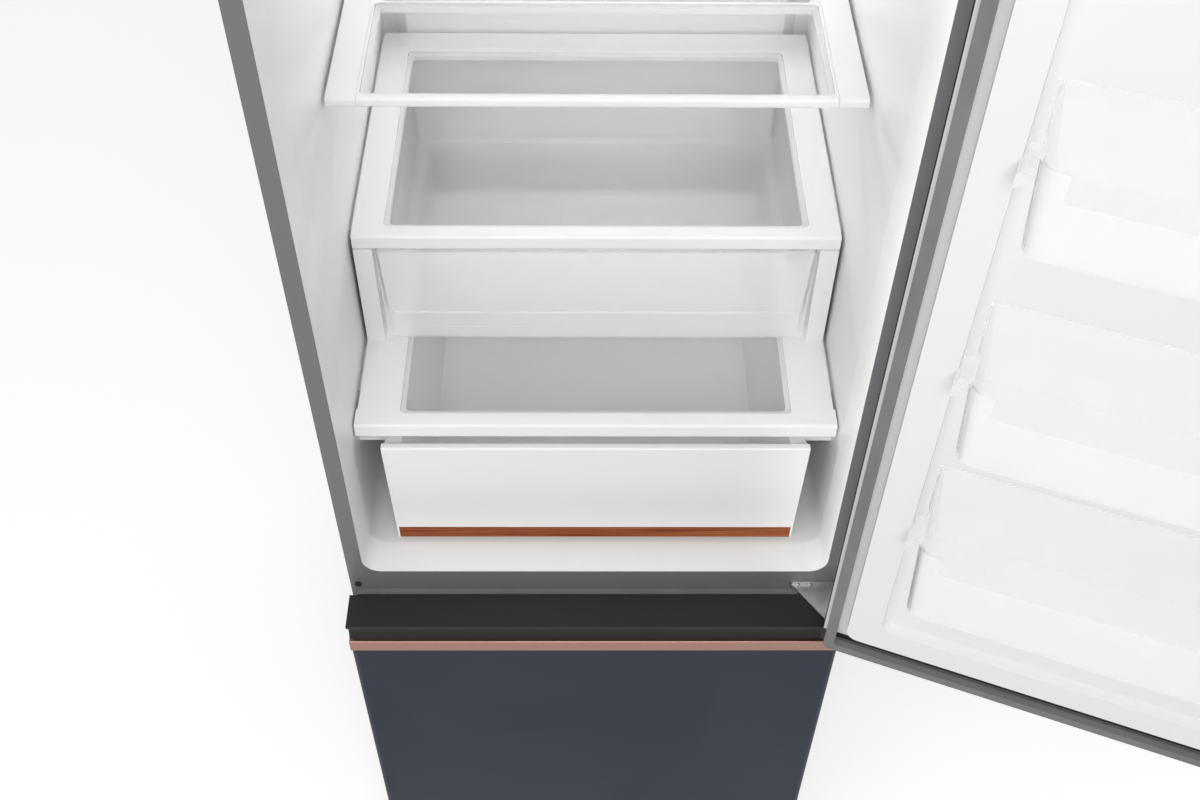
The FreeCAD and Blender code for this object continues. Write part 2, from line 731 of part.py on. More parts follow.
def compressor():
    """Welded steel dome on a foot plate, turned from one profile."""
    x, y = compressor_centre()
    low = BASE_TOP + GROMMET_HEIGHT
    radius = COMPRESSOR_RADIUS
    waist = radius * 0.35
    high = low + COMPRESSOR_HEIGHT
    seam = low + COMPRESSOR_HEIGHT * 0.45

    def at(r, z):
        return point(x + r, y, z)

    def corner(start, middle, end):
        return Part.Arc(at(*start), at(*middle), at(*end)).toShape()

    bend = waist * (1 - math.sqrt(0.5))
    upper = radius - SEAM_STEP
    edges = [
        Part.makeLine(at(0, low), at(radius - waist, low)),
        corner((radius - waist, low), (radius - bend, low + bend), (radius, low + waist)),
        Part.makeLine(at(radius, low + waist), at(radius, seam)),
        Part.makeLine(at(radius, seam), at(radius + SEAM_STEP, seam)),
        Part.makeLine(at(radius + SEAM_STEP, seam), at(radius + SEAM_STEP, seam + SEAM_HEIGHT)),
        Part.makeLine(at(radius + SEAM_STEP, seam + SEAM_HEIGHT), at(upper, seam + SEAM_HEIGHT)),
        Part.makeLine(at(upper, seam + SEAM_HEIGHT), at(upper, high - waist)),
        corner((upper, high - waist), (upper - bend, high - bend), (upper - waist, high)),
        Part.makeLine(at(upper - waist, high), at(0, high)),
        Part.makeLine(at(0, high), at(0, low)),
    ]
    dome = Part.Face(Part.Wire(edges)).revolve(point(x, y, 0), Z, 360)
    reach = FOOT_SPREAD + GROMMET_RADIUS
    plate = plate_xy(
        x - reach, x + reach, y - reach, y + reach, low, low + SHEET * 2, GROMMET_RADIUS
    )
    terminal = block(
        x + radius * 0.8, x + radius + TERMINAL_DEPTH, y - TERMINAL_WIDTH / 2,
        y + TERMINAL_WIDTH / 2, low + waist, low + waist + TERMINAL_WIDTH,
    )
    return joined([dome, plate, terminal])


def compressor_grommets():
    x, y = compressor_centre()
    top = BASE_TOP + GROMMET_HEIGHT
    grommets = []
    for dx in (-FOOT_SPREAD, FOOT_SPREAD):
        for dy in (-FOOT_SPREAD, FOOT_SPREAD):
            grommets.append(cylinder_z(x + dx, y + dy, BASE_TOP, top, GROMMET_RADIUS))
    return grommets


def drain_pan():
    """Pan that catches defrost water, on a post of the base plate beside the compressor."""
    x0 = COVER_MARGIN / 2
    x1 = INNER_HALF - COVER_MARGIN / 2
    y0 = MACHINE_FRONT + COVER_MARGIN / 2
    y1 = REAR - COVER_MARGIN / 2
    outer = plate_xy(x0, x1, y0, y1, BASE_TOP, BASE_TOP + PAN_HEIGHT, SHELL_RADIUS)
    inner = plate_xy(
        x0 + PAN_WALL, x1 - PAN_WALL, y0 + PAN_WALL, y1 - PAN_WALL, BASE_TOP + PAN_WALL,
        BASE_TOP + PAN_HEIGHT + PAN_WALL, SHELL_RADIUS - PAN_WALL,
    )
    return outer.cut(inner)


def condenser_coil():
    """Serpentine tube between two side plates that stand on the rim of the drain pan."""
    x0 = COVER_MARGIN
    y = MACHINE_FRONT + MACHINE_DEPTH / 2
    z0 = BASE_TOP + PAN_HEIGHT + COIL_TUBE * 4
    tube = serpentine(
        CONDENSER_RUNS, CONDENSER_PITCH, CONDENSER_LENGTH, point(x0 + CONDENSER_PITCH, y, z0),
        X, Z, COIL_TUBE,
    )
    plates = []
    top = z0 + (CONDENSER_RUNS - 1) * CONDENSER_PITCH + COIL_TUBE * 4
    pan_front = MACHINE_FRONT + COVER_MARGIN / 2
    pan_rear = REAR - COVER_MARGIN / 2
    for x in (x0 + CONDENSER_PITCH * 1.5, x0 + CONDENSER_LENGTH):
        plate = block(x, x + SHEET, pan_front, pan_rear, BASE_TOP + PAN_HEIGHT, top)
        for run in range(CONDENSER_RUNS):
            hole = cylinder_x(y, z0 + run * CONDENSER_PITCH, x - 1, x + SHEET + 1, COIL_TUBE)
            plate = plate.cut(hole)
        plates.append(plate)
    return [tube, *plates]


def evaporator():
    """Tube on a plate behind the freezer's air panel."""
    height = (EVAPORATOR_RUNS - 1) * EVAPORATOR_PITCH
    low = STEP_TOP + COVER_MARGIN
    plate = block(
        -EVAPORATOR_LENGTH / 2 - EVAPORATOR_PITCH, EVAPORATOR_LENGTH / 2 + EVAPORATOR_PITCH,
        CAVITY_REAR - EVAPORATOR_PLATE, CAVITY_REAR, low - EVAPORATOR_PITCH,
        low + height + EVAPORATOR_PITCH / 2,
    )
    tube = serpentine(
        EVAPORATOR_RUNS, EVAPORATOR_PITCH, EVAPORATOR_LENGTH,
        point(-EVAPORATOR_LENGTH / 2, CAVITY_REAR - EVAPORATOR_PLATE - COIL_TUBE, low), X, Z, COIL_TUBE,
    )
    return [plate, tube]


def air_panel():
    """Cover over the evaporator: return slots low down and the fan's throat near the top."""
    margin = FIT
    panel = plate_xz(
        -CAVITY_HALF + margin, CAVITY_HALF - margin, STEP_TOP + margin, FREEZER_CEILING - margin,
        AIR_PANEL_Y, AIR_PANEL_Y + AIR_PANEL, CAVITY_RADIUS,
    )
    throat = cylinder_y(0, FAN_Z, AIR_PANEL_Y - 1, AIR_PANEL_Y + AIR_PANEL + 1, FAN_RADIUS + FAN_GAP)
    panel = panel.cut(throat)
    low = STEP_TOP + CAVITY_RADIUS
    for z in spread(AIR_SLOTS, low, low + AIR_SLOT_HEIGHT * 2 * (AIR_SLOTS - 1)):
        for side in (-1, 1):
            middle = side * CAVITY_HALF / 2
            slot = plate_xz(
                middle - CAVITY_HALF * 0.35, middle + CAVITY_HALF * 0.35, z, z + AIR_SLOT_HEIGHT,
                AIR_PANEL_Y - 1, AIR_PANEL_Y + AIR_PANEL + 1, AIR_SLOT_HEIGHT * 0.45,
            )
            panel = panel.cut(slot)
    foot = block(
        -CAVITY_HALF * 0.8, CAVITY_HALF * 0.8, AIR_PANEL_Y + AIR_PANEL, CAVITY_REAR,
        STEP_TOP + margin, STEP_TOP + margin + AIR_PANEL,
    )
    return joined([panel, foot])


def evaporator_fan():
    """Axial fan whose blades twist from a steep root to a flat tip."""
    front = AIR_PANEL_Y - FAN_WIDTH / 2
    hub = cylinder_y(0, FAN_Z, front, front + FAN_WIDTH, FAN_HUB)
    middle = front + FAN_WIDTH / 2

    def section(radius, pitch, chord):
        along = point(math.cos(math.radians(pitch)), math.sin(math.radians(pitch)), 0) * (chord / 2)
        thick = point(-math.sin(math.radians(pitch)), math.cos(math.radians(pitch)), 0)
        thick = thick * (BLADE_THICKNESS / 2)
        centre = point(0, middle, FAN_Z + radius)
        ahead = centre + along
        behind = centre - along
        return Part.makePolygon(
            [ahead + thick, behind + thick, behind - thick, ahead - thick, ahead + thick]
        )

    blade = lofted(
        section(FAN_HUB * 0.8, BLADE_ROOT_PITCH, FAN_HUB * 1.1),
        section(FAN_RADIUS * 0.65, (BLADE_ROOT_PITCH + BLADE_TIP_PITCH) / 2, FAN_RADIUS * 0.5),
        section(FAN_RADIUS * 0.96, BLADE_TIP_PITCH, FAN_RADIUS * 0.56),
    )
    blades = []
    for number in range(FAN_BLADES):
        copy = blade.copy()
        copy.rotate(point(0, 0, FAN_Z), Y, 360 * number / FAN_BLADES)
        blades.append(copy)
    bore = cylinder_y(0, FAN_Z, front + FAN_WIDTH / 4, front + FAN_WIDTH * 2, MOTOR_SHAFT + RUNNING_FIT)
    return joined([hub, *blades]).cut(bore)


def fan_motor():
    """Motor behind the fan, its shaft in the hub, on three arms that reach the air panel."""
    front = AIR_PANEL_Y + FAN_WIDTH / 2 + FAN_GAP
    body = cylinder_y(0, FAN_Z, front, CAVITY_REAR - FAN_GAP, MOTOR_RADIUS)
    shaft = cylinder_y(0, FAN_Z, AIR_PANEL_Y - FAN_WIDTH / 4 + 1, front, MOTOR_SHAFT)
    arms = []
    throat = FAN_Z + FAN_RADIUS + FAN_GAP
    reach = throat + MOTOR_SHAFT * 2
    back = front + ARM_PLATE
    for angle in (30, 150, 270):
        arm = block(-MOTOR_SHAFT, MOTOR_SHAFT, front, back, FAN_Z + MOTOR_RADIUS / 2, reach)
        foot = block(-MOTOR_SHAFT, MOTOR_SHAFT, AIR_PANEL_Y + AIR_PANEL, back, throat, reach)
        for piece in (arm, foot):
            piece.rotate(point(0, 0, FAN_Z), Y, angle)
            arms.append(piece)
    return joined([body, shaft, *arms])


def duct_panel():
    """Broad air column on the rear wall of the fresh food space, with paired outlets."""
    low = FRIDGE_FLOOR + CAVITY_RADIUS
    high = FRIDGE_CEILING - CAVITY_RADIUS
    half = CAVITY_HALF - DUCT_SIDE_GAP
    rear = CAVITY_REAR
    root = rounded_xz(-half, half, low, high, rear, SHELL_RADIUS)
    face = rounded_xz(
        -half + DUCT_PROUD, half - DUCT_PROUD, low + DUCT_PROUD, high - DUCT_PROUD,
        rear - DUCT_PROUD, SHELL_RADIUS / 2,
    )
    column = lofted(root, face)
    for z in spread(DUCT_SLOTS, LID_TOP + TOP_WALL, FRIDGE_CEILING - TOP_WALL * 2):
        for side in (-1, 1):
            middle = side * half / 2
            slot = plate_xz(
                middle - DUCT_SLOT_WIDTH / 2, middle + DUCT_SLOT_WIDTH / 2, z, z + AIR_SLOT_HEIGHT,
                rear - DUCT_PROUD * 1.2, rear - DUCT_PROUD * 0.4, AIR_SLOT_HEIGHT * 0.45,
            )
            column = column.cut(slot)
    return column


def lamp_lens():
    """Diffuser of the ceiling lamp, domed downwards."""
    y0 = deep(LAMP_SETBACK)
    top = rounded_xy(
        -LAMP_WIDTH / 2, LAMP_WIDTH / 2, y0, y0 + LAMP_DEPTH, FRIDGE_CEILING, LAMP_HEIGHT
    )
    low = rounded_xy(
        -LAMP_WIDTH / 2 + LAMP_HEIGHT, LAMP_WIDTH / 2 - LAMP_HEIGHT, y0 + LAMP_HEIGHT,
        y0 + LAMP_DEPTH - LAMP_HEIGHT, FRIDGE_CEILING - LAMP_HEIGHT, LAMP_HEIGHT / 2,
    )
    return lofted(low, top)


def framed_glass(half, front, rear, top, lip, lip_half, border, front_border, rear_border):
    """Shelf frame with a deep front lip, and the pane that lies in its rebate."""
    body = plate_xy(-half, half, deep(front + LIP_RADIUS), deep(rear), top - SHELF_BODY, top, SHELF_CORNER)
    edge = block(-lip_half, lip_half, deep(front), deep(front + front_border), top - lip, top)
    long_edges = [
        e for e in edge.Edges
        if e.BoundBox.XLength > lip_half and e.BoundBox.YMax < deep(front) + FIT
    ]
    edge = edge.makeFillet(min(LIP_RADIUS, lip / 3), long_edges)
    frame = joined([body, edge])
    opening = (
        -half + border, half - border, deep(front + front_border), deep(rear - rear_border)
    )
    frame = frame.cut(plate_xy(*opening, top - lip - 1, top + 1, SHELF_CORNER))
    x0, x1, y0, y1 = opening
    rest = plate_xy(
        x0 - GLASS_REST, x1 + GLASS_REST, y0 - GLASS_REST, y1 + GLASS_REST, top - GLASS, top + 1,
        SHELF_CORNER,
    )
    pane = plate_xy(
        x0 - GLASS_REST + FIT, x1 + GLASS_REST - FIT, y0 - GLASS_REST + FIT, y1 + GLASS_REST - FIT,
        top - GLASS, top - FIT, SHELF_CORNER - FIT,
    )
    return frame.cut(rest), pane


def middle_shelf_bars():
    """Side bars that fill the space between the narrow shelf and the walls and carry it."""
    inner = MIDDLE_HALF + FIT
    low = MIDDLE_TOP - MIDDLE_LIP
    under = MIDDLE_TOP - SHELF_BODY - FIT
    outline = (
        (SHELF_HALF, low), (SHELF_HALF, MIDDLE_TOP), (inner, MIDDLE_TOP), (inner, under),
        (inner - BAR_STEP, under), (inner - BAR_STEP, low),
    )
    bar = profile_xz(outline, deep(MIDDLE_FRONT + LIP_DEPTH), deep(SHELF_REAR))
    nose = block(inner, SHELF_HALF, deep(MIDDLE_FRONT), deep(MIDDLE_FRONT + LIP_DEPTH), low, MIDDLE_TOP)
    long_edges = [
        e for e in nose.Edges
        if e.BoundBox.XLength > FIT and e.BoundBox.YMax < deep(MIDDLE_FRONT) + FIT
    ]
    return both_sides(joined([nose.makeFillet(LIP_RADIUS, long_edges), bar]))


def chiller_guides():
    """White side walls of the chiller: a front post, a plate and the ledge the drawer runs on."""
    outer = SHELF_HALF
    inner = outer - GUIDE_WIDTH
    low = LID_TOP
    high = LID_TOP + CHILLER_HEIGHT
    y0 = deep(SHELF_FRONT)
    y1 = deep(SHELF_REAR)
    outline = (
        (outer, y0), (inner, y0), (inner, y1), (inner + GUIDE_PLATE, y1),
        (inner + GUIDE_PLATE, y0 + GUIDE_PLATE), (outer, y0 + GUIDE_PLATE),
    )
    wall = profile_xy(outline, low, high)
    ledge = block(inner - GUIDE_LEDGE, inner, y0 + GUIDE_WIDTH, y1, low, low + GUIDE_LEDGE_HEIGHT)
    return both_sides(joined([wall, ledge]))


def chiller_drawer():
    """Clear drafted tub behind a flat front with a raised finger bar."""
    half = SHELF_HALF - GUIDE_WIDTH - CHILLER_GAP
    y0 = deep(SHELF_FRONT) + GUIDE_PLATE
    y1 = deep(SHELF_REAR - CHILLER_REAR_GAP)
    low = LID_TOP + GUIDE_LEDGE_HEIGHT + FIT
    high = LID_TOP + CHILLER_HEIGHT - CHILLER_TOP_GAP
    body = tub(half, y0 - CHILLER_DRAFT, y1, low, high, CHILLER_DRAFT, CHILLER_WALL, CHILLER_RADIUS)
    body = body.cut(block(-HALF, HALF, FRONT, y0, BASE_HEIGHT, CABINET_TOP))
    foot = half - CHILLER_FRONT_TAPER
    outline = ((-foot, low), (foot, low), (half, high), (-half, high))
    front = profile_xz(outline, y0, y0 + CHILLER_FRONT)
    bar_low = low + CHILLER_GRIP_RISE
    bar = block(
        -foot + CHILLER_RADIUS, foot - CHILLER_RADIUS, y0 - CHILLER_GRIP_DEPTH, y0 + CHILLER_FRONT,
        bar_low, bar_low + CHILLER_GRIP,
    )
    long_edges = [
        e for e in bar.Edges
        if e.BoundBox.XLength > half and e.BoundBox.YMax < y0 - CHILLER_GRIP_DEPTH + FIT
    ]
    return joined([body, front, bar.makeFillet(CHILLER_GRIP_DEPTH * 0.5, long_edges)])


def crisper_sizes():
    """Half widths of panel and rim, front face and back of the panel, and the rim height."""
    front_half = CAVITY_HALF - CRISPER_SIDE_GAP
    y0 = deep(CRISPER_FRONT_SETBACK)
    rim_half = front_half - CRISPER_FLARE
    return front_half, rim_half, y0, y0 + CRISPER_FRONT_PANEL, CRISPER_TOP - CRISPER_RIM_DROP


def crisper_tub():
    """Tapered tub with a flat rim, skirts that hook over the runners and flared front corners."""
    front_half, rim_half, _, y1, rim = crisper_sizes()
    half = rim_half - CRISPER_RIM
    rear = y1 + CRISPER_DEPTH
    low = CRISPER_BOTTOM + CRISPER_WALL
    body = tub(half, y1 - CRISPER_DRAFT, rear, low, rim, CRISPER_DRAFT, CRISPER_WALL, CRISPER_RADIUS)
    body = body.cut(block(-HALF, HALF, FRONT - CABINET_DEPTH, y1, BASE_HEIGHT, CABINET_TOP))
    wall = block(-half + CRISPER_DRAFT, half - CRISPER_DRAFT, y1, y1 + CRISPER_WALL, low, rim)
    leaning = profile_xz(
        (
            (-half + CRISPER_DRAFT, low), (half - CRISPER_DRAFT, low),
            (half, rim), (-half, rim),
        ),
        y1, y1 + CRISPER_WALL,
    )
    plate = block(-rim_half, rim_half, y1, rear + CRISPER_RIM, rim - CRISPER_RIM_PLATE, rim)
    inside = block(
        -half + CRISPER_WALL, half - CRISPER_WALL, y1 + CRISPER_WALL, rear - CRISPER_WALL,
        rim - CRISPER_RIM_PLATE, rim,
    )
    skirt = block(
        rim_half - CRISPER_SKIRT_WALL, rim_half, y1, rear + CRISPER_RIM, rim - CRISPER_SKIRT, rim
    )
    corner = profile_xy(
        (
            (half, y1), (front_half, y1), (rim_half, y1 + CRISPER_FLARE_DEPTH),
            (half, y1 + CRISPER_FLARE_DEPTH),
        ),
        rim - CRISPER_SKIRT, rim,
    )
    return joined([body, wall, leaning, plate.cut(inside), *both_sides(skirt), *both_sides(corner)])


def crisper_front():
    """White front panel, a little narrower at its foot, with a rebate for the wood strip."""
    front_half, _, y0, y1, _ = crisper_sizes()
    low_half = front_half - CRISPER_FRONT_TAPER
    outline = (
        (-low_half, CRISPER_BOTTOM), (low_half, CRISPER_BOTTOM),
        (front_half, CRISPER_TOP), (-front_half, CRISPER_TOP),
    )
    panel = profile_xz(outline, y0, y1)
    top_edge = [
        e for e in panel.Edges
        if e.BoundBox.YMax < y0 + FIT and e.BoundBox.ZMin > CRISPER_TOP - FIT
    ]
    panel = panel.makeFillet(CRISPER_FRONT_PANEL * 0.3, top_edge)
    return panel.cut(crisper_rebate(0))


def crisper_rebate(gap):
    front_half, _, y0, _, _ = crisper_sizes()
    half = front_half - CRISPER_FRONT_TAPER - WOOD_END - gap
    return block(
        -half, half, y0, y0 + WOOD_DEPTH, CRISPER_BOTTOM, CRISPER_BOTTOM + WOOD_HEIGHT - gap
    )


def crisper_strip():
    return crisper_rebate(FIT / 2)


def crisper_runners():
    """Rails from the liner walls with an upturned lip under the crisper's rim."""
    _, rim_half, _, y1, rim = crisper_sizes()
    slack = (CRISPER_RIM - CRISPER_SKIRT_WALL - RUNNER_LIP) / 2
    tip = rim_half - CRISPER_SKIRT_WALL - slack - RUNNER_LIP
    web_top = rim - CRISPER_SKIRT - FIT * 4
    seat = rim - CRISPER_RIM_PLATE - FIT
    root = CAVITY_HALF + LINER_WALL / 2
    outline = (
        (root, web_top), (tip + RUNNER_LIP, web_top), (tip + RUNNER_LIP, seat), (tip, seat),
        (tip, web_top - RUNNER_WEB), (root, web_top - RUNNER_WEB),
    )
    start = y1 + CRISPER_FLARE_DEPTH + CHILLER_GAP
    return both_sides(profile_xz(outline, start, CAVITY_REAR - CAVITY_RADIUS))


def leaf_outline(z0, z1, inset):
    """Door slab with round front edges; inset gives the space inside its steel skin."""
    front = SLAB_FRONT + inset
    wire = rounded_xy(
        -HALF + inset, HALF - inset, front, SLAB_REAR + 2 * LEAF_RADIUS, z0, LEAF_RADIUS - inset
    )
    body = Part.Face(wire).extrude(Z * (z1 - z0))
    return body.common(block(-HALF, HALF, SLAB_FRONT, SLAB_REAR, z0, z1))


def leaf_skin(z0, z1):
    return leaf_outline(z0, z1, 0).cut(leaf_outline(z0, z1, SHEET))


def dyke(z0, z1, height, offset):
    """Raised frame of a door liner; offset moves its faces inwards to the foam."""
    half = HALF - DYKE_INSET - offset
    root = SLAB_REAR - LINER_WALL
    top = SLAB_REAR + height - offset
    low = z0 + DYKE_EDGE + offset
    high = z1 - DYKE_EDGE - offset
    radius = DYKE_RADIUS - offset
    outer = lofted(
        rounded_xz(-half, half, low, high, root, radius),
        rounded_xz(-half + DYKE_DRAFT, half - DYKE_DRAFT, low + DYKE_DRAFT, high - DYKE_DRAFT, top, radius),
    )
    width = DYKE_WIDTH - 2 * offset
    inner = lofted(
        rounded_xz(-half + width, half - width, low + width, high - width, root, radius),
        rounded_xz(
            -half + width - DYKE_DRAFT, half - width + DYKE_DRAFT,
            low + width - DYKE_DRAFT, high - width + DYKE_DRAFT, top, radius,
        ),
    )
    return outer.cut(inner)


def leaf_liner(z0, z1, height):
    panel = block(-INNER_HALF, INNER_HALF, SLAB_REAR - LINER_WALL, SLAB_REAR, z0, z1)
    raised = dyke(z0, z1, height, 0)
    return joined([panel, raised]).cut(dyke(z0, z1, height, LINER_WALL))


def leaf_foam(z0, z1, height):
    core = leaf_outline(z0, z1, SHEET)
    core = core.cut(block(-HALF, HALF, SLAB_REAR - LINER_WALL, SLAB_REAR, z0, z1))
    return joined([core, dyke(z0, z1, height, LINER_WALL)])


def leaf_seal(z0, z1):
    """Magnetic seal: a narrow foot on the door and the wider bulb that meets the flange."""

    def frame(inset, width, y0, y1):
        outer = plate_xz(
            -HALF + inset, HALF - inset, z0 + inset, z1 - inset, y0, y1, LEAF_RADIUS
        )
        inner = inset + width
        return outer.cut(
            plate_xz(-HALF + inner, HALF - inner, z0 + inner, z1 - inner, y0, y1, LEAF_RADIUS / 2)
        )

    waist = SLAB_REAR + SEAL_FOOT
    foot = frame(SEAL_INSET + SEAL_WIDTH / 4, SEAL_WIDTH / 2, SLAB_REAR, waist)
    bulb = frame(SEAL_INSET, SEAL_WIDTH, waist, FRONT - SEAL_CLEARANCE)
    return joined([foot, bulb])


def door_cap(z0, z1, pin_low, pin_high, pocket):
    """Moulded end of the upper door with the bush that turns on its hinge pin."""
    cap = leaf_outline(z0, z1, 0)
    low, high = pocket
    recess = plate_xy(
        -HALF + DYKE_INSET, HALF - DYKE_INSET * 2, SLAB_FRONT + LEAF_RADIUS, SLAB_REAR - LEAF_RADIUS,
        low, high, LEAF_RADIUS,
    )
    return cap.cut(recess).cut(
        cylinder_z(HINGE_X, HINGE_Y, pin_low, pin_high, PIN_RADIUS + RUNNING_FIT)
    )


def bin_places():
    """Bottom height and height of each door bin, from the lowest up."""
    first = LID_TOP + BIN_FIRST
    return [(first + number * BIN_PITCH, height) for number, height in enumerate(BIN_HEIGHTS)]


def bin_lugs():
    """Lugs that stand on the door liner beside its raised frame."""
    face = HALF - DYKE_INSET - DYKE_WIDTH
    lugs = []
    for low, height in bin_places():
        root = face + DYKE_DRAFT + LINER_WALL / 2
        tip = face - LUG_WIDTH
        outline = (
            (root, low), (tip, low + LUG_WIDTH), (tip, low + LUG_HEIGHT), (root, low + LUG_HEIGHT)
        )
        lug = profile_xz(outline, SLAB_REAR - LINER_WALL / 2, SLAB_REAR + LUG_DEPTH)
        lugs += both_sides(lug)
    return lugs


def door_bin(low, height):
    """Bin with a lowered front and end tabs that stand on the door's lugs."""
    face = HALF - DYKE_INSET - DYKE_WIDTH
    half = face - LUG_WIDTH - FIT * 2
    y0 = SLAB_REAR + FIT
    y1 = y0 + BIN_DEPTH
    body = tub(half, y0 - BIN_DRAFT, y1, low, low + height, BIN_DRAFT, BIN_WALL, BIN_RADIUS)
    body = body.cut(block(-HALF, HALF, SLAB_FRONT - SLAB, y0, low, low + height))
    back = profile_xz(
        ((-half + BIN_DRAFT, low), (half - BIN_DRAFT, low), (half, low + height), (-half, low + height)),
        y0, y0 + BIN_WALL,
    )
    scoop = block(
        -half + BIN_RADIUS * 1.5, half - BIN_RADIUS * 1.5, y1 - BIN_RADIUS, y1 + BIN_RADIUS,
        low + height - BIN_FRONT_DROP, low + height + 1,
    )
    tab_low = low + LUG_HEIGHT + FIT
    tab = block(
        half - BIN_DRAFT - BIN_WALL / 2, face - FIT * 2, y0, SLAB_REAR + LUG_DEPTH,
        tab_low, tab_low + LUG_HEIGHT / 2,
    )
    inner = tub_space(half, y0, y1, low, height)
    tabs = [piece.cut(inner) for piece in both_sides(tab)]
    return joined([body.cut(scoop), back, *tabs])


def tub_space(half, y0, y1, low, height):
    """Inside of a door bin, kept free of its end tabs."""
    inset = BIN_WALL
    bottom = rounded_xy(
        -half + BIN_DRAFT + inset, half - BIN_DRAFT - inset, y0, y1 - BIN_DRAFT - inset,
        low + inset, BIN_RADIUS - inset,
    )
    top = rounded_xy(
        -half + inset, half - inset, y0, y1 - inset, low + height, BIN_RADIUS - inset
    )
    return lofted(bottom, top)


def top_hinge():
    """Plate on the cabinet's roof that reaches over the door and holds its upper pin."""
    low = CABINET_TOP
    inner = HINGE_X - HINGE_ARM
    tip = HINGE_Y - PIN_RADIUS * 2.5
    plate = profile_xy(
        (
            (HALF - PIN_RADIUS, deep(HINGE_SEAT)), (inner - HINGE_ARM, deep(HINGE_SEAT)),
            (inner - HINGE_ARM, deep(SIDE_FLANGE)), (HINGE_X - PIN_RADIUS * 2.5, tip),
            (HALF - PIN_RADIUS / 2, tip),
        ),
        low, low + HINGE_PLATE,
    )
    pin = cylinder_z(HINGE_X, HINGE_Y, DOOR_TOP - PIN_LENGTH, low + HINGE_PLATE, PIN_RADIUS)
    return joined([plate, pin])


def hinge_cover():
    """Moulded cap over the upper hinge plate."""
    low = CABINET_TOP
    x0 = HINGE_X - HINGE_ARM * 2 - HINGE_COVER_WALL * 2
    y0 = HINGE_Y - PIN_RADIUS * 2.5 - HINGE_COVER_WALL * 2
    y1 = deep(HINGE_SEAT + HINGE_COVER_WALL * 2)
    outer = lofted(
        rounded_xy(x0, HALF, y0, y1, low, LEAF_RADIUS),
        rounded_xy(
            x0 + LEAF_RADIUS, HALF - LEAF_RADIUS / 2, y0 + LEAF_RADIUS / 2, y1 - LEAF_RADIUS,
            low + HINGE_COVER_HEIGHT, LEAF_RADIUS,
        ),
    )
    room = plate_xy(
        x0 + HINGE_COVER_WALL, HALF - HINGE_COVER_WALL / 2, y0 + HINGE_COVER_WALL, y1 - HINGE_COVER_WALL,
        low, low + HINGE_PLATE + FIT, LEAF_RADIUS / 2,
    )
    return outer.cut(room)


def centre_hinge():
    """Bracket on the flange between the doors with the pin that carries the upper door."""
    middle = (FREEZER_TOP + DOOR_BOTTOM) / 2
    x0 = HALF - CENTRE_WIDTH
    tip = HINGE_Y - PIN_RADIUS * 2
    foot = block(
        x0, HALF - PIN_RADIUS / 2, FRONT - CENTRE_PLATE, FRONT, middle - CENTRE_HEIGHT / 2,
        middle + CENTRE_HEIGHT / 2,
    )
    arm = profile_xy(
        (
            (HALF - PIN_RADIUS / 2, FRONT), (x0, FRONT), (HINGE_X - PIN_RADIUS * 2, tip),
            (HALF - PIN_RADIUS / 2, tip),
        ),
        middle - HINGE_PLATE / 2, middle + HINGE_PLATE / 2,
    )
    pin = cylinder_z(HINGE_X, HINGE_Y, middle, DOOR_BOTTOM + PIN_LENGTH, PIN_RADIUS)
    washer = cylinder_z(HINGE_X, HINGE_Y, middle, DOOR_BOTTOM - FIT, PIN_RADIUS * 1.8)
    return joined([foot, arm, pin, washer])


def freezer_grip():
    """Dark top of the freezer front, scooped along its front for the fingers."""
    back = SLAB_REAR
    front = SLAB_FRONT
    seat = GRIP_BOTTOM + STRIP_HEIGHT

    def at(y, z):
        return point(-HALF, y, z)

    edges = [
        Part.makeLine(at(front + STRIP_DEPTH, GRIP_BOTTOM), at(back, GRIP_BOTTOM)),
        Part.makeLine(at(back, GRIP_BOTTOM), at(back, FREEZER_TOP)),
        Part.makeLine(at(back, FREEZER_TOP), at(front + FIT, FREEZER_TOP)),
        Part.makeLine(at(front + FIT, FREEZER_TOP), at(front + FIT, FREEZER_TOP - GRIP_SCOOP / 2)),
        Part.Arc(
            at(front + FIT, FREEZER_TOP - GRIP_SCOOP / 2),
            at(front + GRIP_SCOOP, (FREEZER_TOP - GRIP_SCOOP / 2 + seat) / 2),
            at(front + STRIP_DEPTH, seat),
        ).toShape(),
        Part.makeLine(at(front + STRIP_DEPTH, seat), at(front + STRIP_DEPTH, GRIP_BOTTOM)),
    ]
    return Part.Face(Part.Wire(edges)).extrude(X * CABINET_WIDTH)


def freezer_strip():
    """Metal strip below the finger scoop, with a soft upper edge."""
    bar = block(
        -HALF, HALF, SLAB_FRONT, SLAB_FRONT + STRIP_DEPTH, GRIP_BOTTOM, GRIP_BOTTOM + STRIP_HEIGHT
    )
    edge = [
        e for e in bar.Edges
        if e.BoundBox.XLength > HALF and e.BoundBox.YMax < SLAB_FRONT + FIT
        and e.BoundBox.ZMin > GRIP_BOTTOM + FIT
    ]
    return bar.makeFillet(STRIP_DEPTH / 3, edge)


def freezer_rails():
    """Fixed channels of the freezer runners on the liner walls."""
    outer = CAVITY_HALF
    inner = outer - RAIL_DEPTH
    low = RAIL_BOTTOM
    high = low + RAIL_HEIGHT
    t = RAIL_SHEET
    outline = (
        (outer, low), (outer, high), (inner, high), (inner, high - t), (outer - t, high - t),
        (outer - t, low + t), (inner, low + t), (inner, low),
    )
    return both_sides(profile_xz(outline, deep(RAIL_START), RAIL_REAR))


def slide_half():
    """Inner face of the moving runner members."""
    return CAVITY_HALF - RAIL_DEPTH - FIT - SLIDE_WEB


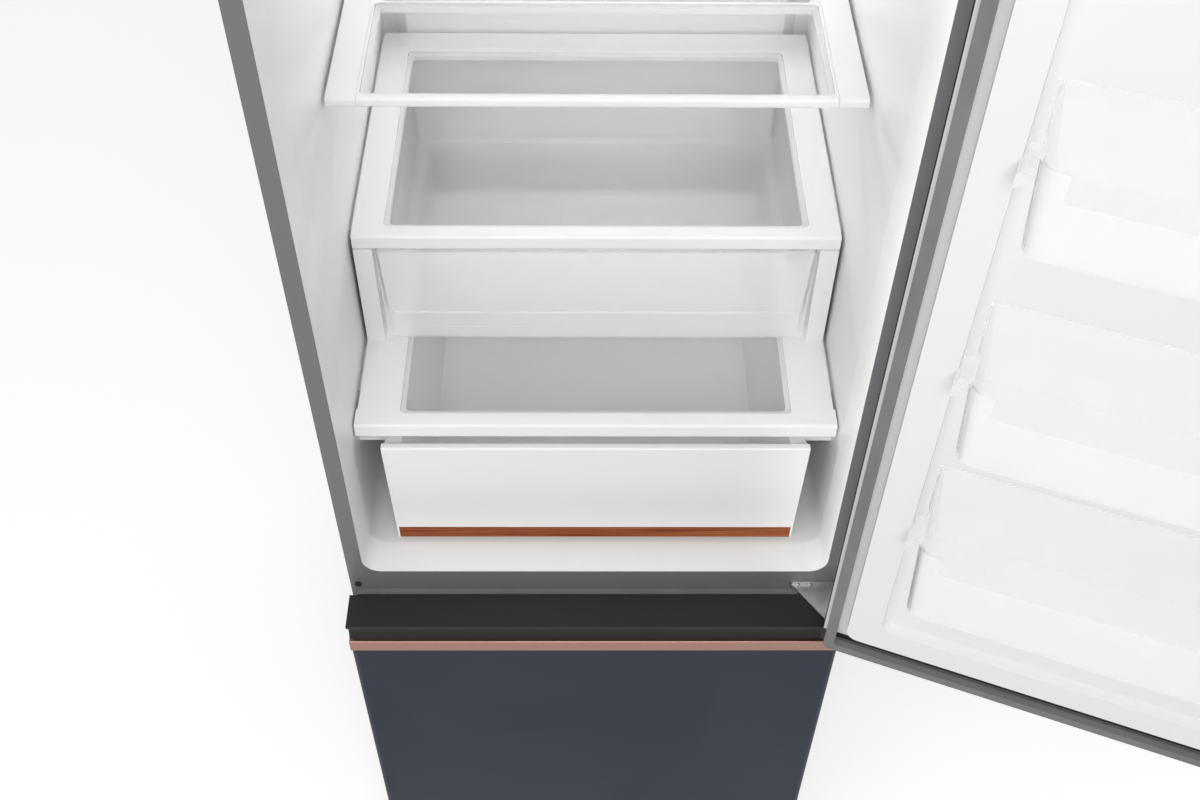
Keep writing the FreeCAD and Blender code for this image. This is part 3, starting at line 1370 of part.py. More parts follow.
def freezer_slides():
    """Moving runners: a bar inside each channel and the ledge that carries the basket."""
    inner = slide_half()
    outer = inner + SLIDE_WEB
    low = RAIL_BOTTOM
    high = low + RAIL_HEIGHT
    bar_low = low + RAIL_SHEET + FIT
    bar_high = high - RAIL_SHEET - FIT
    bar_outer = CAVITY_HALF - RAIL_SHEET - FIT
    outline = (
        (outer, low), (inner - SLIDE_LEDGE, low), (inner - SLIDE_LEDGE, low + SLIDE_LEDGE_HEIGHT),
        (inner, low + SLIDE_LEDGE_HEIGHT), (inner, high), (outer, high), (outer, bar_high),
        (bar_outer, bar_high), (bar_outer, bar_low), (outer, bar_low),
    )
    member = profile_xz(outline, deep(RAIL_START), RAIL_REAR)
    start = SLAB_REAR + FREEZER_DYKE
    link = block(inner, outer, start, deep(RAIL_START), low, high)
    ledge = block(
        inner - SLIDE_LEDGE, inner, start, deep(RAIL_START), low, low + SLIDE_LEDGE_HEIGHT
    )
    return both_sides(joined([member, link, ledge]))


def freezer_basket():
    """Deep basket that hangs by its rim on the runner ledges."""
    half = slide_half() - SLIDE_LEDGE - FIT
    y0 = SLAB_REAR + FREEZER_DYKE + BASKET_FRONT_GAP
    y1 = STEP_FRONT - BASKET_REAR_GAP
    rim = RAIL_BOTTOM + SLIDE_LEDGE_HEIGHT + FIT
    top = rim + BASKET_WALL
    body = tub(half, y0, y1, BASKET_BOTTOM, top, BASKET_DRAFT, BASKET_WALL, BASKET_RADIUS)
    wide = half + BASKET_RIM
    plate = plate_xy(-wide, wide, y0, y1, rim, top, BASKET_RADIUS)
    hole = plate_xy(
        -half + BASKET_WALL, half - BASKET_WALL, y0 + BASKET_WALL, y1 - BASKET_WALL,
        rim, top, BASKET_RADIUS - BASKET_WALL,
    )
    return joined([body, plate.cut(hole)])


def freezer_tray():
    """Shallow tray that stands on the upper edges of the runners and slides back."""
    half = slide_half() + SLIDE_WEB / 2 + TRAY_DRAFT
    y0 = SLAB_REAR + FREEZER_DYKE + BASKET_FRONT_GAP
    low = RAIL_BOTTOM + RAIL_HEIGHT + FIT
    y1 = STEP_FRONT - TRAY_REAR_GAP
    return tub(half, y0, y1, low, low + TRAY_HEIGHT, TRAY_DRAFT, TRAY_WALL, BASKET_RADIUS)


def fresh_food_shelves():
    """Frames and panes of the three full shelves, by node name."""
    pieces = {}
    pieces["crisper_lid_frame"], pieces["crisper_lid_glass"] = framed_glass(
        SHELF_HALF, LID_FRONT, SHELF_REAR, LID_TOP, LID_LIP,
        CAVITY_HALF - LID_SIDE_GAP, LID_BORDER, LID_FRONT_BORDER, LID_REAR,
    )
    pieces["chiller_lid_frame"], pieces["chiller_lid_glass"] = framed_glass(
        SHELF_HALF, SHELF_FRONT, SHELF_REAR, CHILLER_LID_TOP, CHILLER_LID_LIP,
        SHELF_HALF, SHELF_BORDER, LIP_DEPTH, CHILLER_LID_REAR,
    )
    pieces["top_shelf_frame"], pieces["top_shelf_glass"] = framed_glass(
        SHELF_HALF, SHELF_FRONT, SHELF_REAR, TOP_SHELF_TOP, TOP_SHELF_LIP,
        SHELF_HALF, SHELF_BORDER, LIP_DEPTH, TOP_SHELF_REAR,
    )
    pieces["middle_shelf_frame"], pieces["middle_shelf_glass"] = framed_glass(
        MIDDLE_HALF, MIDDLE_FRONT, MIDDLE_FRONT + MIDDLE_DEPTH, MIDDLE_TOP, MIDDLE_LIP,
        MIDDLE_HALF, MIDDLE_RIM, MIDDLE_BORDER, MIDDLE_RIM,
    )
    return pieces


def upper_door():
    """Nodes of the upper door, closed."""
    panel_low = DOOR_BOTTOM + CAP_HEIGHT
    panel_high = DOOR_TOP - CAP_HEIGHT
    pieces = {
        "door_skin": leaf_skin(panel_low, panel_high),
        "door_foam": leaf_foam(panel_low, panel_high, DYKE_HEIGHT),
        "door_seal": leaf_seal(DOOR_BOTTOM, DOOR_TOP),
        "door_bottom_cap": door_cap(
            DOOR_BOTTOM, panel_low, DOOR_BOTTOM, DOOR_BOTTOM + PIN_LENGTH + FIT,
            (DOOR_BOTTOM - 1, DOOR_BOTTOM + CAP_HEIGHT / 4),
        ),
        "door_top_cap": door_cap(
            panel_high, DOOR_TOP, DOOR_TOP - PIN_LENGTH - FIT, DOOR_TOP,
            (DOOR_TOP - CAP_HEIGHT / 4, DOOR_TOP + 1),
        ),
    }
    liner = leaf_liner(panel_low, panel_high, DYKE_HEIGHT)
    foam = pieces["door_foam"]
    lugs = [lug.cut(foam) for lug in bin_lugs()]
    pieces["door_liner"] = joined([liner, *lugs])
    names = ("lower_door_bin", "middle_door_bin", "upper_door_bin")
    for name, (low, height) in zip(names, bin_places()):
        pieces[name] = door_bin(low, height)
    return pieces


def freezer_front():
    """Nodes of the pull-out freezer front, closed."""
    panel_low = FREEZER_BOTTOM + CAP_HEIGHT
    return {
        "freezer_skin": leaf_skin(panel_low, GRIP_BOTTOM),
        "freezer_front_liner": leaf_liner(panel_low, GRIP_BOTTOM, FREEZER_DYKE),
        "freezer_front_foam": leaf_foam(panel_low, GRIP_BOTTOM, FREEZER_DYKE),
        "freezer_seal": leaf_seal(FREEZER_BOTTOM, FREEZER_TOP),
        "freezer_bottom_cap": leaf_outline(FREEZER_BOTTOM, panel_low, 0),
        "freezer_grip": freezer_grip(),
        "freezer_strip": freezer_strip(),
    }


def opened(shape):
    """The closed upper door swung to its stored angle about its hinge pins."""
    turned = shape.copy()
    turned.rotate(point(HINGE_X, HINGE_Y, 0), Z, DOOR_OPEN)
    return turned


def all_nodes():
    left, right = foot_places()
    nodes = {
        "cabinet_shell": cabinet_shell(),
        "back_panel": back_panel(),
        "fridge_liner": fridge_liner(),
        "freezer_liner": freezer_liner(),
        "insulation_foam": insulation_foam(),
        "base_plate": base_plate(),
        "machine_cover": machine_cover(),
        "kick_plate": kick_plate(),
        "cord_gland": cord_gland(),
        "compressor": compressor(),
        "compressor_grommets": compressor_grommets(),
        "condenser_coil": condenser_coil(),
        "drain_pan": drain_pan(),
        "evaporator": evaporator(),
        "air_panel": air_panel(),
        "evaporator_fan": evaporator_fan(),
        "fan_motor": fan_motor(),
        "duct_panel": duct_panel(),
        "lamp_lens": lamp_lens(),
        "top_hinge": top_hinge(),
        "hinge_cover": hinge_cover(),
        "centre_hinge": centre_hinge(),
        "middle_shelf_bars": middle_shelf_bars(),
        "chiller_guides": chiller_guides(),
        "chiller_drawer": chiller_drawer(),
        "crisper_tub": crisper_tub(),
        "crisper_front": crisper_front(),
        "crisper_strip": crisper_strip(),
        "freezer_rails": freezer_rails(),
        "freezer_slides": freezer_slides(),
        "freezer_basket": freezer_basket(),
        "freezer_tray": freezer_tray(),
        "left_foot": levelling_foot(*left),
        "right_foot": levelling_foot(*right),
        "left_roller": rear_roller(-1),
        "right_roller": rear_roller(1),
    }
    nodes.update(fresh_food_shelves())
    nodes.update(freezer_front())
    nodes.update({name: opened(shape) for name, shape in upper_door().items()})
    return nodes


def main():
    os.makedirs("parts", exist_ok=True)
    for name, shape in all_nodes().items():
        if isinstance(shape, list):
            shape = Part.makeCompound(shape)
        solids = shape.Solids
        if not shape.isValid() or not solids:
            raise ValueError(name + " is not a valid solid")
        print(name, len(solids), "solids", round(shape.Volume / 1000, 1), "cm3")
        shape.exportStep("parts/" + name + ".step")


main()
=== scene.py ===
import json
import math

import bpy
from mathutils import Matrix, Vector


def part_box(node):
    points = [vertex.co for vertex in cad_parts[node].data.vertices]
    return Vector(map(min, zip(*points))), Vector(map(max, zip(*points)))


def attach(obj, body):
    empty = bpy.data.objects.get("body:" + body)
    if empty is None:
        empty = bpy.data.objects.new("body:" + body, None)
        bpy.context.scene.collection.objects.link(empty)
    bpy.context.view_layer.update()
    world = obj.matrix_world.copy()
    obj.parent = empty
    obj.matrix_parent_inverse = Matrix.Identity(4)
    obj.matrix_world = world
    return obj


bl_info = {
    "name": "Bottom Freezer Refrigerator",
    "version": (1, 0, 0),
    "blender": (4, 5, 0),
    "location": "3D View > Sidebar > Refrigerator",
    "description": "Finishes, small fittings and stage of a bottom freezer refrigerator",
    "category": "Object",
}

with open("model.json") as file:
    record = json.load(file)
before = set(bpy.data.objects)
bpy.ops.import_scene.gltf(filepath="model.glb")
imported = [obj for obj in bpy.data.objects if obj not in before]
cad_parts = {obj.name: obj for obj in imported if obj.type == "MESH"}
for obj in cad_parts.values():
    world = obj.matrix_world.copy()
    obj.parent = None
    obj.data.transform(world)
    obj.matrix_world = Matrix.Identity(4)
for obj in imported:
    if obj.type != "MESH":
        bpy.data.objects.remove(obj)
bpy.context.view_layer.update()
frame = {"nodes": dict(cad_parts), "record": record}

# Small fittings
HEAD_SIDES = 32
FACING = 0.9  # least part of a normal along the way that a face looks
SHARP_EDGE = math.radians(32)  # edges sharper than this are rounded
SMOOTH_BELOW = math.radians(38)  # faces that meet at less than this shade as one
EDGE_SEGMENTS = 3
EDGE_SHARE = 0.12  # width of a rounded edge, of the head's height
CAP_STEPS = ((0.28, 0.22), (0.25, 0.06))  # each step's inset, of the radius, and rise, of the height
CROSS_LENGTH = 1.1  # of the radius, as the width is
CROSS_WIDTH = 0.28
CROSS_DEPTH = 1.2  # of the height, as the place is
CROSS_PLACE = 1.1
HINGE_SCREW_STEPS = (0.6, 1.6)  # screws from the end of the bracket, in screw steps
RIB_SHARE = 0.12  # half a screen rib's width, of a cell
CELL_DEPTH_SHARE = 1 / 3  # depth of a screen's cell, of the sheet

# Bump heights in metres
MOULDED_DEPTH = 0.00004
PEEL_DEPTH = 0.00006
LINE_DEPTH = 0.00004
RUBBER_DEPTH = 0.00006
PORE_DEPTH = 0.00008
LENS_DEPTH = 0.00005
FOAM_DEPTH = 0.0006

# Paler patches of old rubber: a share of its colour, and a little added
BLOOM_SHARE = 1.14
BLOOM_ADDED = 0.004

# Clear pieces: thin walls hardly bend the view, and lamps lose little in them
THIN_WALL_BENDING = 1.12
LAMP_LIGHT_KEPT = (0.985, 0.988, 0.986, 1.0)

# Stage, in metres where a line doesn't say otherwise
FLOOR_SIZE = 60.0
FLOOR_GLOW = 0.445  # strength where the floor is seen
WHITE = (1, 1, 1, 1)  # red, green, blue and cover
SENSOR_WIDTH = 36.0  # millimetres
STUDIO_LAMPS = (
    # name, property of its power, place, aim, side
    ("Key Lamp", "key", (-1.0, -1.6, 1.95), (0.1, 0, 1.2), 0.9),
    ("Fill Lamp", "fill", (0.75, -2.7, 2.2), (-0.1, 0, 1.2), 1.2),
    ("View Lamp", "view", (0, -2.6, 3.1), (0, 0, 0.95), 1.6),
)
# The pieces below and above each of the three upper levels
INNER_FLOORS = ("chiller_lid_frame", "middle_shelf_frame", "top_shelf_frame")
INNER_CEILINGS = ("middle_shelf_frame", "top_shelf_frame", "lamp_lens")
INNER_LAMP_OFF_WALL = 0.004
INNER_LAMP_WIDTH_SHARE = 0.8  # of the duct column
INNER_LAMP_HEIGHT_SHARE = 0.3  # of the level
INNER_LAMP_RISE = 0.45  # upwards for each metre forwards, so that the bar below a lamp stays plain
GAP_LAMP_INSET = 0.03
GAP_LAMP_OFF_FLANGE = 0.04
GAP_LAMP_WIDTH = 0.01


# Sizes and colours that a user would change


class RefrigeratorFinishes(bpy.types.PropertyGroup):
    """Colours of the large surfaces."""

    navy: bpy.props.FloatVectorProperty(
        name="Navy", description="Door and freezer fronts", subtype="COLOR", size=3,
        default=(0.024, 0.028, 0.046), min=0.0, max=1.0,
    )
    cabinet: bpy.props.FloatVectorProperty(
        name="Cabinet", description="Painted shell and front flange", subtype="COLOR", size=3,
        default=(0.17, 0.17, 0.173), min=0.0, max=1.0,
    )
    liner: bpy.props.FloatVectorProperty(
        name="Liner", description="Formed lining of both spaces", subtype="COLOR", size=3,
        default=(0.87, 0.87, 0.865), min=0.0, max=1.0,
    )
    trim: bpy.props.FloatVectorProperty(
        name="Trim", description="Shelf frames and drawer front", subtype="COLOR", size=3,
        default=(0.87, 0.87, 0.865), min=0.0, max=1.0,
    )
    copper: bpy.props.FloatVectorProperty(
        name="Copper", description="Strip below the freezer grip", subtype="COLOR", size=3,
        default=(0.36, 0.205, 0.17), min=0.0, max=1.0,
    )
    wood_dark: bpy.props.FloatVectorProperty(
        name="Wood, dark figure", description="Late growth of the crisper strip",
        subtype="COLOR", size=3, default=(0.16, 0.04, 0.015), min=0.0, max=1.0,
    )
    wood_light: bpy.props.FloatVectorProperty(
        name="Wood, light figure", description="Early growth of the crisper strip",
        subtype="COLOR", size=3, default=(0.42, 0.13, 0.046), min=0.0, max=1.0,
    )


class RefrigeratorFittings(bpy.types.PropertyGroup):
    """Sizes of the small fittings."""

    plug_radius: bpy.props.FloatProperty(
        name="Plug radius", description="Cap in the unused hinge hole", default=0.0042,
        unit="LENGTH", min=0.001,
    )
    plug_height: bpy.props.FloatProperty(
        name="Plug height", description="How far the cap stands off the flange", default=0.0022,
        unit="LENGTH", min=0.0005,
    )
    plug_inset: bpy.props.FloatProperty(
        name="Plug inset", description="Middle of the cap from the side of the cabinet", default=0.0095,
        unit="LENGTH", min=0.0,
    )
    plug_rise: bpy.props.FloatProperty(
        name="Plug rise", description="Middle of the cap above the freezer front", default=0.0045,
        unit="LENGTH", min=0.0,
    )
    bracket_sheet: bpy.props.FloatProperty(
        name="Bracket sheet", description="Thickness of the centre hinge on the flange", default=0.002,
        unit="LENGTH", min=0.0005,
    )
    screw_radius: bpy.props.FloatProperty(
        name="Screw radius", description="Heads of the screws", default=0.0036,
        unit="LENGTH", min=0.001,
    )
    screw_height: bpy.props.FloatProperty(
        name="Screw height", description="Heads of the screws", default=0.002,
        unit="LENGTH", min=0.0005,
    )
    screw_step: bpy.props.FloatProperty(
        name="Screw step", description="Distance between the two hinge screws", default=0.015,
        unit="LENGTH", min=0.0,
    )
    screw_edge: bpy.props.FloatProperty(
        name="Screw edge", description="Rear screws from the edge of their sheet", default=0.012,
        unit="LENGTH", min=0.0,
    )
    panel_rows: bpy.props.IntProperty(
        name="Panel rows", description="Screws down each side of the back panel", default=5, min=2,
    )
    kick_sheet: bpy.props.FloatProperty(
        name="Kick sheet", description="Thickness of the kick plate", default=0.0025,
        unit="LENGTH", min=0.0005,
    )
    clip_width: bpy.props.FloatProperty(
        name="Clip width", description="Each of the kick plate's two clips", default=0.016,
        unit="LENGTH", min=0.0,
    )
    # The screens behind the kick plate's slots are painted shade: grey sheets that stand in for the
    # shade under the cabinet.
    screen_edge: bpy.props.FloatProperty(
        name="Screen edge", description="Outer screens from the ends of the kick plate",
        default=0.0255, unit="LENGTH", min=0.0,
    )
    screen_rim: bpy.props.FloatProperty(
        name="Screen rim", description="Screens from the upper and lower edge of the kick plate",
        default=0.0055, unit="LENGTH", min=0.0,
    )
    screen_cell: bpy.props.FloatProperty(
        name="Screen cell", description="Width of a cell of the painted shade screens", default=0.0068,
        unit="LENGTH", min=0.002,
    )
    screen_sheet: bpy.props.FloatProperty(
        name="Screen sheet", description="Thickness of the painted shade screens", default=0.0012,
        unit="LENGTH", min=0.0005,
    )


class RefrigeratorStage(bpy.types.PropertyGroup):
    """Camera and light."""

    camera_place: bpy.props.FloatVectorProperty(
        name="Camera", description="Where the camera stands", subtype="TRANSLATION", size=3,
        unit="LENGTH", default=(-0.011, -1.2715, 2.1318),
    )
    camera_pitch: bpy.props.FloatProperty(
        name="Pitch", description="Angle below the horizon",
        subtype="ANGLE", default=math.radians(48.76),
    )
    camera_yaw: bpy.props.FloatProperty(
        name="Yaw", description="Turn to the right",
        subtype="ANGLE", default=math.radians(0.86),
    )
    camera_roll: bpy.props.FloatProperty(
        name="Roll", description="Turn about the line of sight",
        subtype="ANGLE", default=math.radians(0.73),
    )
    lens: bpy.props.FloatProperty(
        name="Lens", description="Focal length in millimetres", default=41.52, min=10.0,
    )
    sky: bpy.props.FloatProperty(
        name="Sky", description="Strength of the even light", default=0.46, min=0.0,
    )
    key: bpy.props.FloatProperty(
        name="Key", description="Power of the soft lamp on the left",
        default=6.0, min=0.0, unit="POWER",
    )
    fill: bpy.props.FloatProperty(
        name="Fill", description="Power of the soft lamp on the right",
        default=3.5, min=0.0, unit="POWER",
    )
    view: bpy.props.FloatProperty(
        name="View", description="Power of the soft lamp above the camera",
        default=38.0, min=0.0, unit="POWER",
    )
    inside: bpy.props.FloatProperty(
        name="Inside", description="Power of the glow from the rear wall",
        default=2.8, min=0.0, unit="POWER",
    )
    gap: bpy.props.FloatProperty(
        name="Gap", description="Power of the glow beside the open door",
        default=0.2, min=0.0, unit="POWER",
    )


# Shared surface effects


def group_with(name, inputs, outputs):
    """An empty node group with these float inputs and outputs, and its two end nodes."""
    group = bpy.data.node_groups.new(name, "ShaderNodeTree")
    for label, value in inputs:
        socket = group.interface.new_socket(label, in_out="INPUT", socket_type="NodeSocketFloat")
        socket.default_value = value
    for label in outputs:
        group.interface.new_socket(label, in_out="OUTPUT", socket_type="NodeSocketFloat")
    entry = group.nodes.new("NodeGroupInput")
    leave = group.nodes.new("NodeGroupOutput")
    return group, entry, leave


def scaled_place(group, scale):
    """Object coordinates stretched by this amount along each axis."""
    place = group.nodes.new("ShaderNodeTexCoord")
    mapping = group.nodes.new("ShaderNodeMapping")
    mapping.inputs["Scale"].default_value = scale
    group.links.new(place.outputs["Object"], mapping.inputs["Vector"])
    return mapping.outputs["Vector"]


def moulded_grain():
    """Fine spark texture of moulded plastic, with a slow drift of tone."""
    group, entry, leave = group_with(
        "Moulded Grain", [("Scale", 900.0), ("Drift", 3.0)], ["Height", "Tone"]
    )
    place = scaled_place(group, (1, 1, 1))
    fine = group.nodes.new("ShaderNodeTexNoise")
    fine.inputs["Detail"].default_value = 3.0
    fine.inputs["Roughness"].default_value = 0.6
    slow = group.nodes.new("ShaderNodeTexNoise")
    slow.inputs["Detail"].default_value = 2.0
    for texture, label in ((fine, "Scale"), (slow, "Drift")):
        group.links.new(place, texture.inputs["Vector"])
        group.links.new(entry.outputs[label], texture.inputs["Scale"])
    group.links.new(fine.outputs["Fac"], leave.inputs["Height"])
    group.links.new(slow.outputs["Fac"], leave.inputs["Tone"])
    return group


def brushed_lines():
    """Hairlines that run along X, as on rolled or brushed metal."""
    group, entry, leave = group_with("Brushed Lines", [("Scale", 1.0)], ["Height", "Tone"])
    place = scaled_place(group, (6, 900, 900))
    lines = group.nodes.new("ShaderNodeTexNoise")
    lines.inputs["Detail"].default_value = 4.0
    group.links.new(place, lines.inputs["Vector"])
    group.links.new(entry.outputs["Scale"], lines.inputs["Scale"])
    group.links.new(lines.outputs["Fac"], leave.inputs["Height"])
    group.links.new(lines.outputs["Fac"], leave.inputs["Tone"])
    return group


def handling_marks():
    """Soft patches where hands and cloths have changed the shine."""
    group, entry, leave = group_with("Handling Marks", [("Scale", 7.0)], ["Mask"])
    place = scaled_place(group, (1, 1, 0.6))
    patches = group.nodes.new("ShaderNodeTexNoise")
    patches.inputs["Detail"].default_value = 5.0
    patches.inputs["Distortion"].default_value = 0.7
    ramp = group.nodes.new("ShaderNodeMapRange")
    ramp.inputs["From Min"].default_value = 0.42
    ramp.inputs["From Max"].default_value = 0.68
    group.links.new(place, patches.inputs["Vector"])
    group.links.new(entry.outputs["Scale"], patches.inputs["Scale"])
    group.links.new(patches.outputs["Fac"], ramp.inputs["Value"])
    group.links.new(ramp.outputs["Result"], leave.inputs["Mask"])
    return group


def wood_figure():
    """Long growth lines along X with fine pores."""
    group, entry, leave = group_with("Wood Figure", [("Scale", 1.0)], ["Figure", "Pores"])
    place = scaled_place(group, (5, 300, 420))
    growth = group.nodes.new("ShaderNodeTexNoise")
    growth.inputs["Detail"].default_value = 4.0
    growth.inputs["Distortion"].default_value = 0.8
    contrast = group.nodes.new("ShaderNodeMapRange")
    contrast.inputs["From Min"].default_value = 0.34
    contrast.inputs["From Max"].default_value = 0.66
    fine = scaled_place(group, (40, 1500, 1500))
    pores = group.nodes.new("ShaderNodeTexNoise")
    pores.inputs["Detail"].default_value = 2.0
    group.links.new(place, growth.inputs["Vector"])
    group.links.new(fine, pores.inputs["Vector"])
    for texture in (growth, pores):
        group.links.new(entry.outputs["Scale"], texture.inputs["Scale"])
    group.links.new(growth.outputs["Fac"], contrast.inputs["Value"])
    group.links.new(contrast.outputs["Result"], leave.inputs["Figure"])
    group.links.new(pores.outputs["Fac"], leave.inputs["Pores"])
    return group


def shared_group(name):
    """The effect of this name, built on its first use."""
    makers = {
        "Moulded Grain": moulded_grain, "Brushed Lines": brushed_lines,
        "Handling Marks": handling_marks, "Wood Figure": wood_figure,
    }
    return bpy.data.node_groups.get(name) or makers[name]()


# Finishes


class Finish:
    """One material under construction: its Principled shader and short ways to feed it."""

    def __init__(self, name, roughness, metallic=0.0, shine=0.5):
        self.material = bpy.data.materials.new(name)
        self.material.use_nodes = True
        self.tree = self.material.node_tree
        self.shader = self.tree.nodes["Principled BSDF"]
        self.shader.inputs["Metallic"].default_value = metallic
        self.shader.inputs["Roughness"].default_value = roughness
        self.shader.inputs["Specular IOR Level"].default_value = shine

    def add(self, kind):
        return self.tree.nodes.new(kind)

    def join(self, start, end):
        self.tree.links.new(start, end)

    def effect(self, name, **values):
        """A shared effect placed in this material with its own values."""
        node = self.add("ShaderNodeGroup")
        node.node_tree = shared_group(name)
        for label, value in values.items():
            node.inputs[label].default_value = value
        return node

    def colour_between(self, first, second, factor):
        """Base colour that goes from first to second with a mask."""
        blend = self.add("ShaderNodeMix")
        blend.data_type = "RGBA"
        blend.inputs["A"].default_value = (*first, 1.0)
        blend.inputs["B"].default_value = (*second, 1.0)
        self.join(factor, blend.inputs["Factor"])
        self.join(blend.outputs["Result"], self.shader.inputs["Base Color"])

    def shine_between(self, low, high, factor):
        """Roughness that goes from low to high with a mask."""
        span = self.add("ShaderNodeMapRange")
        span.inputs["To Min"].default_value = low
        span.inputs["To Max"].default_value = high
        self.join(factor, span.inputs["Value"])
        self.join(span.outputs["Result"], self.shader.inputs["Roughness"])

    def bumps(self, height, strength, distance):
        """Fine relief of this height in metres."""
        bump = self.add("ShaderNodeBump")
        bump.inputs["Strength"].default_value = strength
        bump.inputs["Distance"].default_value = distance
        self.join(height, bump.inputs["Height"])
        self.join(bump.outputs["Normal"], self.shader.inputs["Normal"])


def darker(colour, share):
    return tuple(part * share for part in colour)


def bloomed(colour):
    """The paler colour that old rubber takes in patches."""
    return tuple(min(1.0, part * BLOOM_SHARE + BLOOM_ADDED) for part in colour)


def plastic(name, colour, roughness, grain=900.0, strength=0.25, tone=0.94, coat=0.0, shine=0.5):
    """Moulded plastic: spark texture, slow tone drift and polished patches."""
    finish = Finish(name, roughness, shine=shine)
    grain_node = finish.effect("Moulded Grain", Scale=grain, Drift=3.0)
    marks = finish.effect("Handling Marks", Scale=9.0)
    finish.colour_between(darker(colour, tone), colour, grain_node.outputs["Tone"])
    finish.shine_between(roughness * 0.96, min(1.0, roughness * 1.06), marks.outputs["Mask"])
    finish.bumps(grain_node.outputs["Height"], strength=strength, distance=MOULDED_DEPTH)
    finish.shader.inputs["Coat Weight"].default_value = coat
    finish.shader.inputs["Coat Roughness"].default_value = 0.12
    return finish.material


def painted_steel(name, colour, roughness, coat, shine):
    """Powder paint on steel: faint orange peel under a clear film."""
    finish = Finish(name, roughness, shine=shine)
    peel = finish.effect("Moulded Grain", Scale=320.0, Drift=2.2)
    marks = finish.effect("Handling Marks", Scale=5.0)
    finish.colour_between(darker(colour, 0.95), colour, peel.outputs["Tone"])
    finish.shine_between(roughness * 0.95, roughness * 1.1, marks.outputs["Mask"])
    finish.bumps(peel.outputs["Height"], strength=0.12, distance=PEEL_DEPTH)
    finish.shader.inputs["Coat Weight"].default_value = coat
    finish.shader.inputs["Coat Roughness"].default_value = 0.08
    return finish.material


def rolled_metal(name, colour, roughness):
    """Bare or tinted metal with rolling lines."""
    finish = Finish(name, roughness, metallic=1.0)
    lines = finish.effect("Brushed Lines", Scale=1.0)
    finish.colour_between(darker(colour, 0.84), colour, lines.outputs["Tone"])
    finish.shine_between(roughness * 0.75, roughness * 1.3, lines.outputs["Tone"])
    finish.bumps(lines.outputs["Height"], strength=0.12, distance=LINE_DEPTH)
    return finish.material


def soft_rubber(name, colour, roughness):
    """Matte rubber with a bloom that lightens it in patches."""
    finish = Finish(name, roughness)
    grain = finish.effect("Moulded Grain", Scale=1400.0, Drift=14.0)
    marks = finish.effect("Handling Marks", Scale=16.0)
    finish.colour_between(colour, bloomed(colour), marks.outputs["Mask"])
    finish.shine_between(roughness * 0.9, min(1.0, roughness * 1.12), grain.outputs["Tone"])
    finish.bumps(grain.outputs["Height"], strength=0.35, distance=RUBBER_DEPTH)
    return finish.material


def veneer(settings):
    """Satin wood strip."""
    finish = Finish("Reddish Veneer", 0.5, shine=0.05)
    figure = finish.effect("Wood Figure", Scale=1.0)
    finish.colour_between(settings.wood_dark, settings.wood_light, figure.outputs["Figure"])
    finish.shine_between(0.36, 0.54, figure.outputs["Pores"])
    finish.bumps(figure.outputs["Pores"], strength=0.3, distance=PORE_DEPTH)
    return finish.material


def see_through(name, tint, roughness, coat, clearness):
    """Thin glass or clear plastic with a glossy skin, which lamp light and scattered light pass."""
    finish = Finish(name, roughness)
    finish.shader.inputs["Transmission Weight"].default_value = clearness
    finish.shader.inputs["IOR"].default_value = THIN_WALL_BENDING
    finish.shader.inputs["Coat Weight"].default_value = coat
    finish.shader.inputs["Coat Roughness"].default_value = 0.03
    marks = finish.effect("Handling Marks", Scale=12.0)
    finish.colour_between(tint, darker(tint, 0.985), marks.outputs["Mask"])
    finish.shine_between(roughness, roughness + 0.04, marks.outputs["Mask"])
    clear = finish.add("ShaderNodeBsdfTransparent")
    clear.inputs["Color"].default_value = LAMP_LIGHT_KEPT
    path = finish.add("ShaderNodeLightPath")
    either = finish.add("ShaderNodeMath")
    either.operation = "MAXIMUM"
    finish.join(path.outputs["Is Shadow Ray"], either.inputs[0])
    finish.join(path.outputs["Is Diffuse Ray"], either.inputs[1])
    blend = finish.add("ShaderNodeMixShader")
    finish.join(either.outputs["Value"], blend.inputs["Fac"])
    finish.join(finish.shader.outputs["BSDF"], blend.inputs[1])
    finish.join(clear.outputs["BSDF"], blend.inputs[2])
    finish.join(blend.outputs["Shader"], finish.tree.nodes["Material Output"].inputs["Surface"])
    return finish.material


def opal_lens():
    """Lamp diffuser that glows a little."""
    finish = Finish("Opal Lens", 0.35)
    grain = finish.effect("Moulded Grain", Scale=500.0, Drift=20.0)
    finish.colour_between((0.84, 0.84, 0.82), (0.9, 0.9, 0.88), grain.outputs["Tone"])
    finish.bumps(grain.outputs["Height"], strength=0.2, distance=LENS_DEPTH)
    finish.shader.inputs["Emission Color"].default_value = (1.0, 0.98, 0.94, 1.0)
    finish.shader.inputs["Emission Strength"].default_value = 0.8
    return finish.material


def rigid_foam():
    """Cut face of insulation foam."""
    finish = Finish("Insulation Foam", 0.9)
    cells = finish.effect("Moulded Grain", Scale=420.0, Drift=8.0)
    finish.colour_between((0.6, 0.5, 0.24), (0.76, 0.66, 0.36), cells.outputs["Tone"])
    finish.bumps(cells.outputs["Height"], strength=0.6, distance=FOAM_DEPTH)
    return finish.material


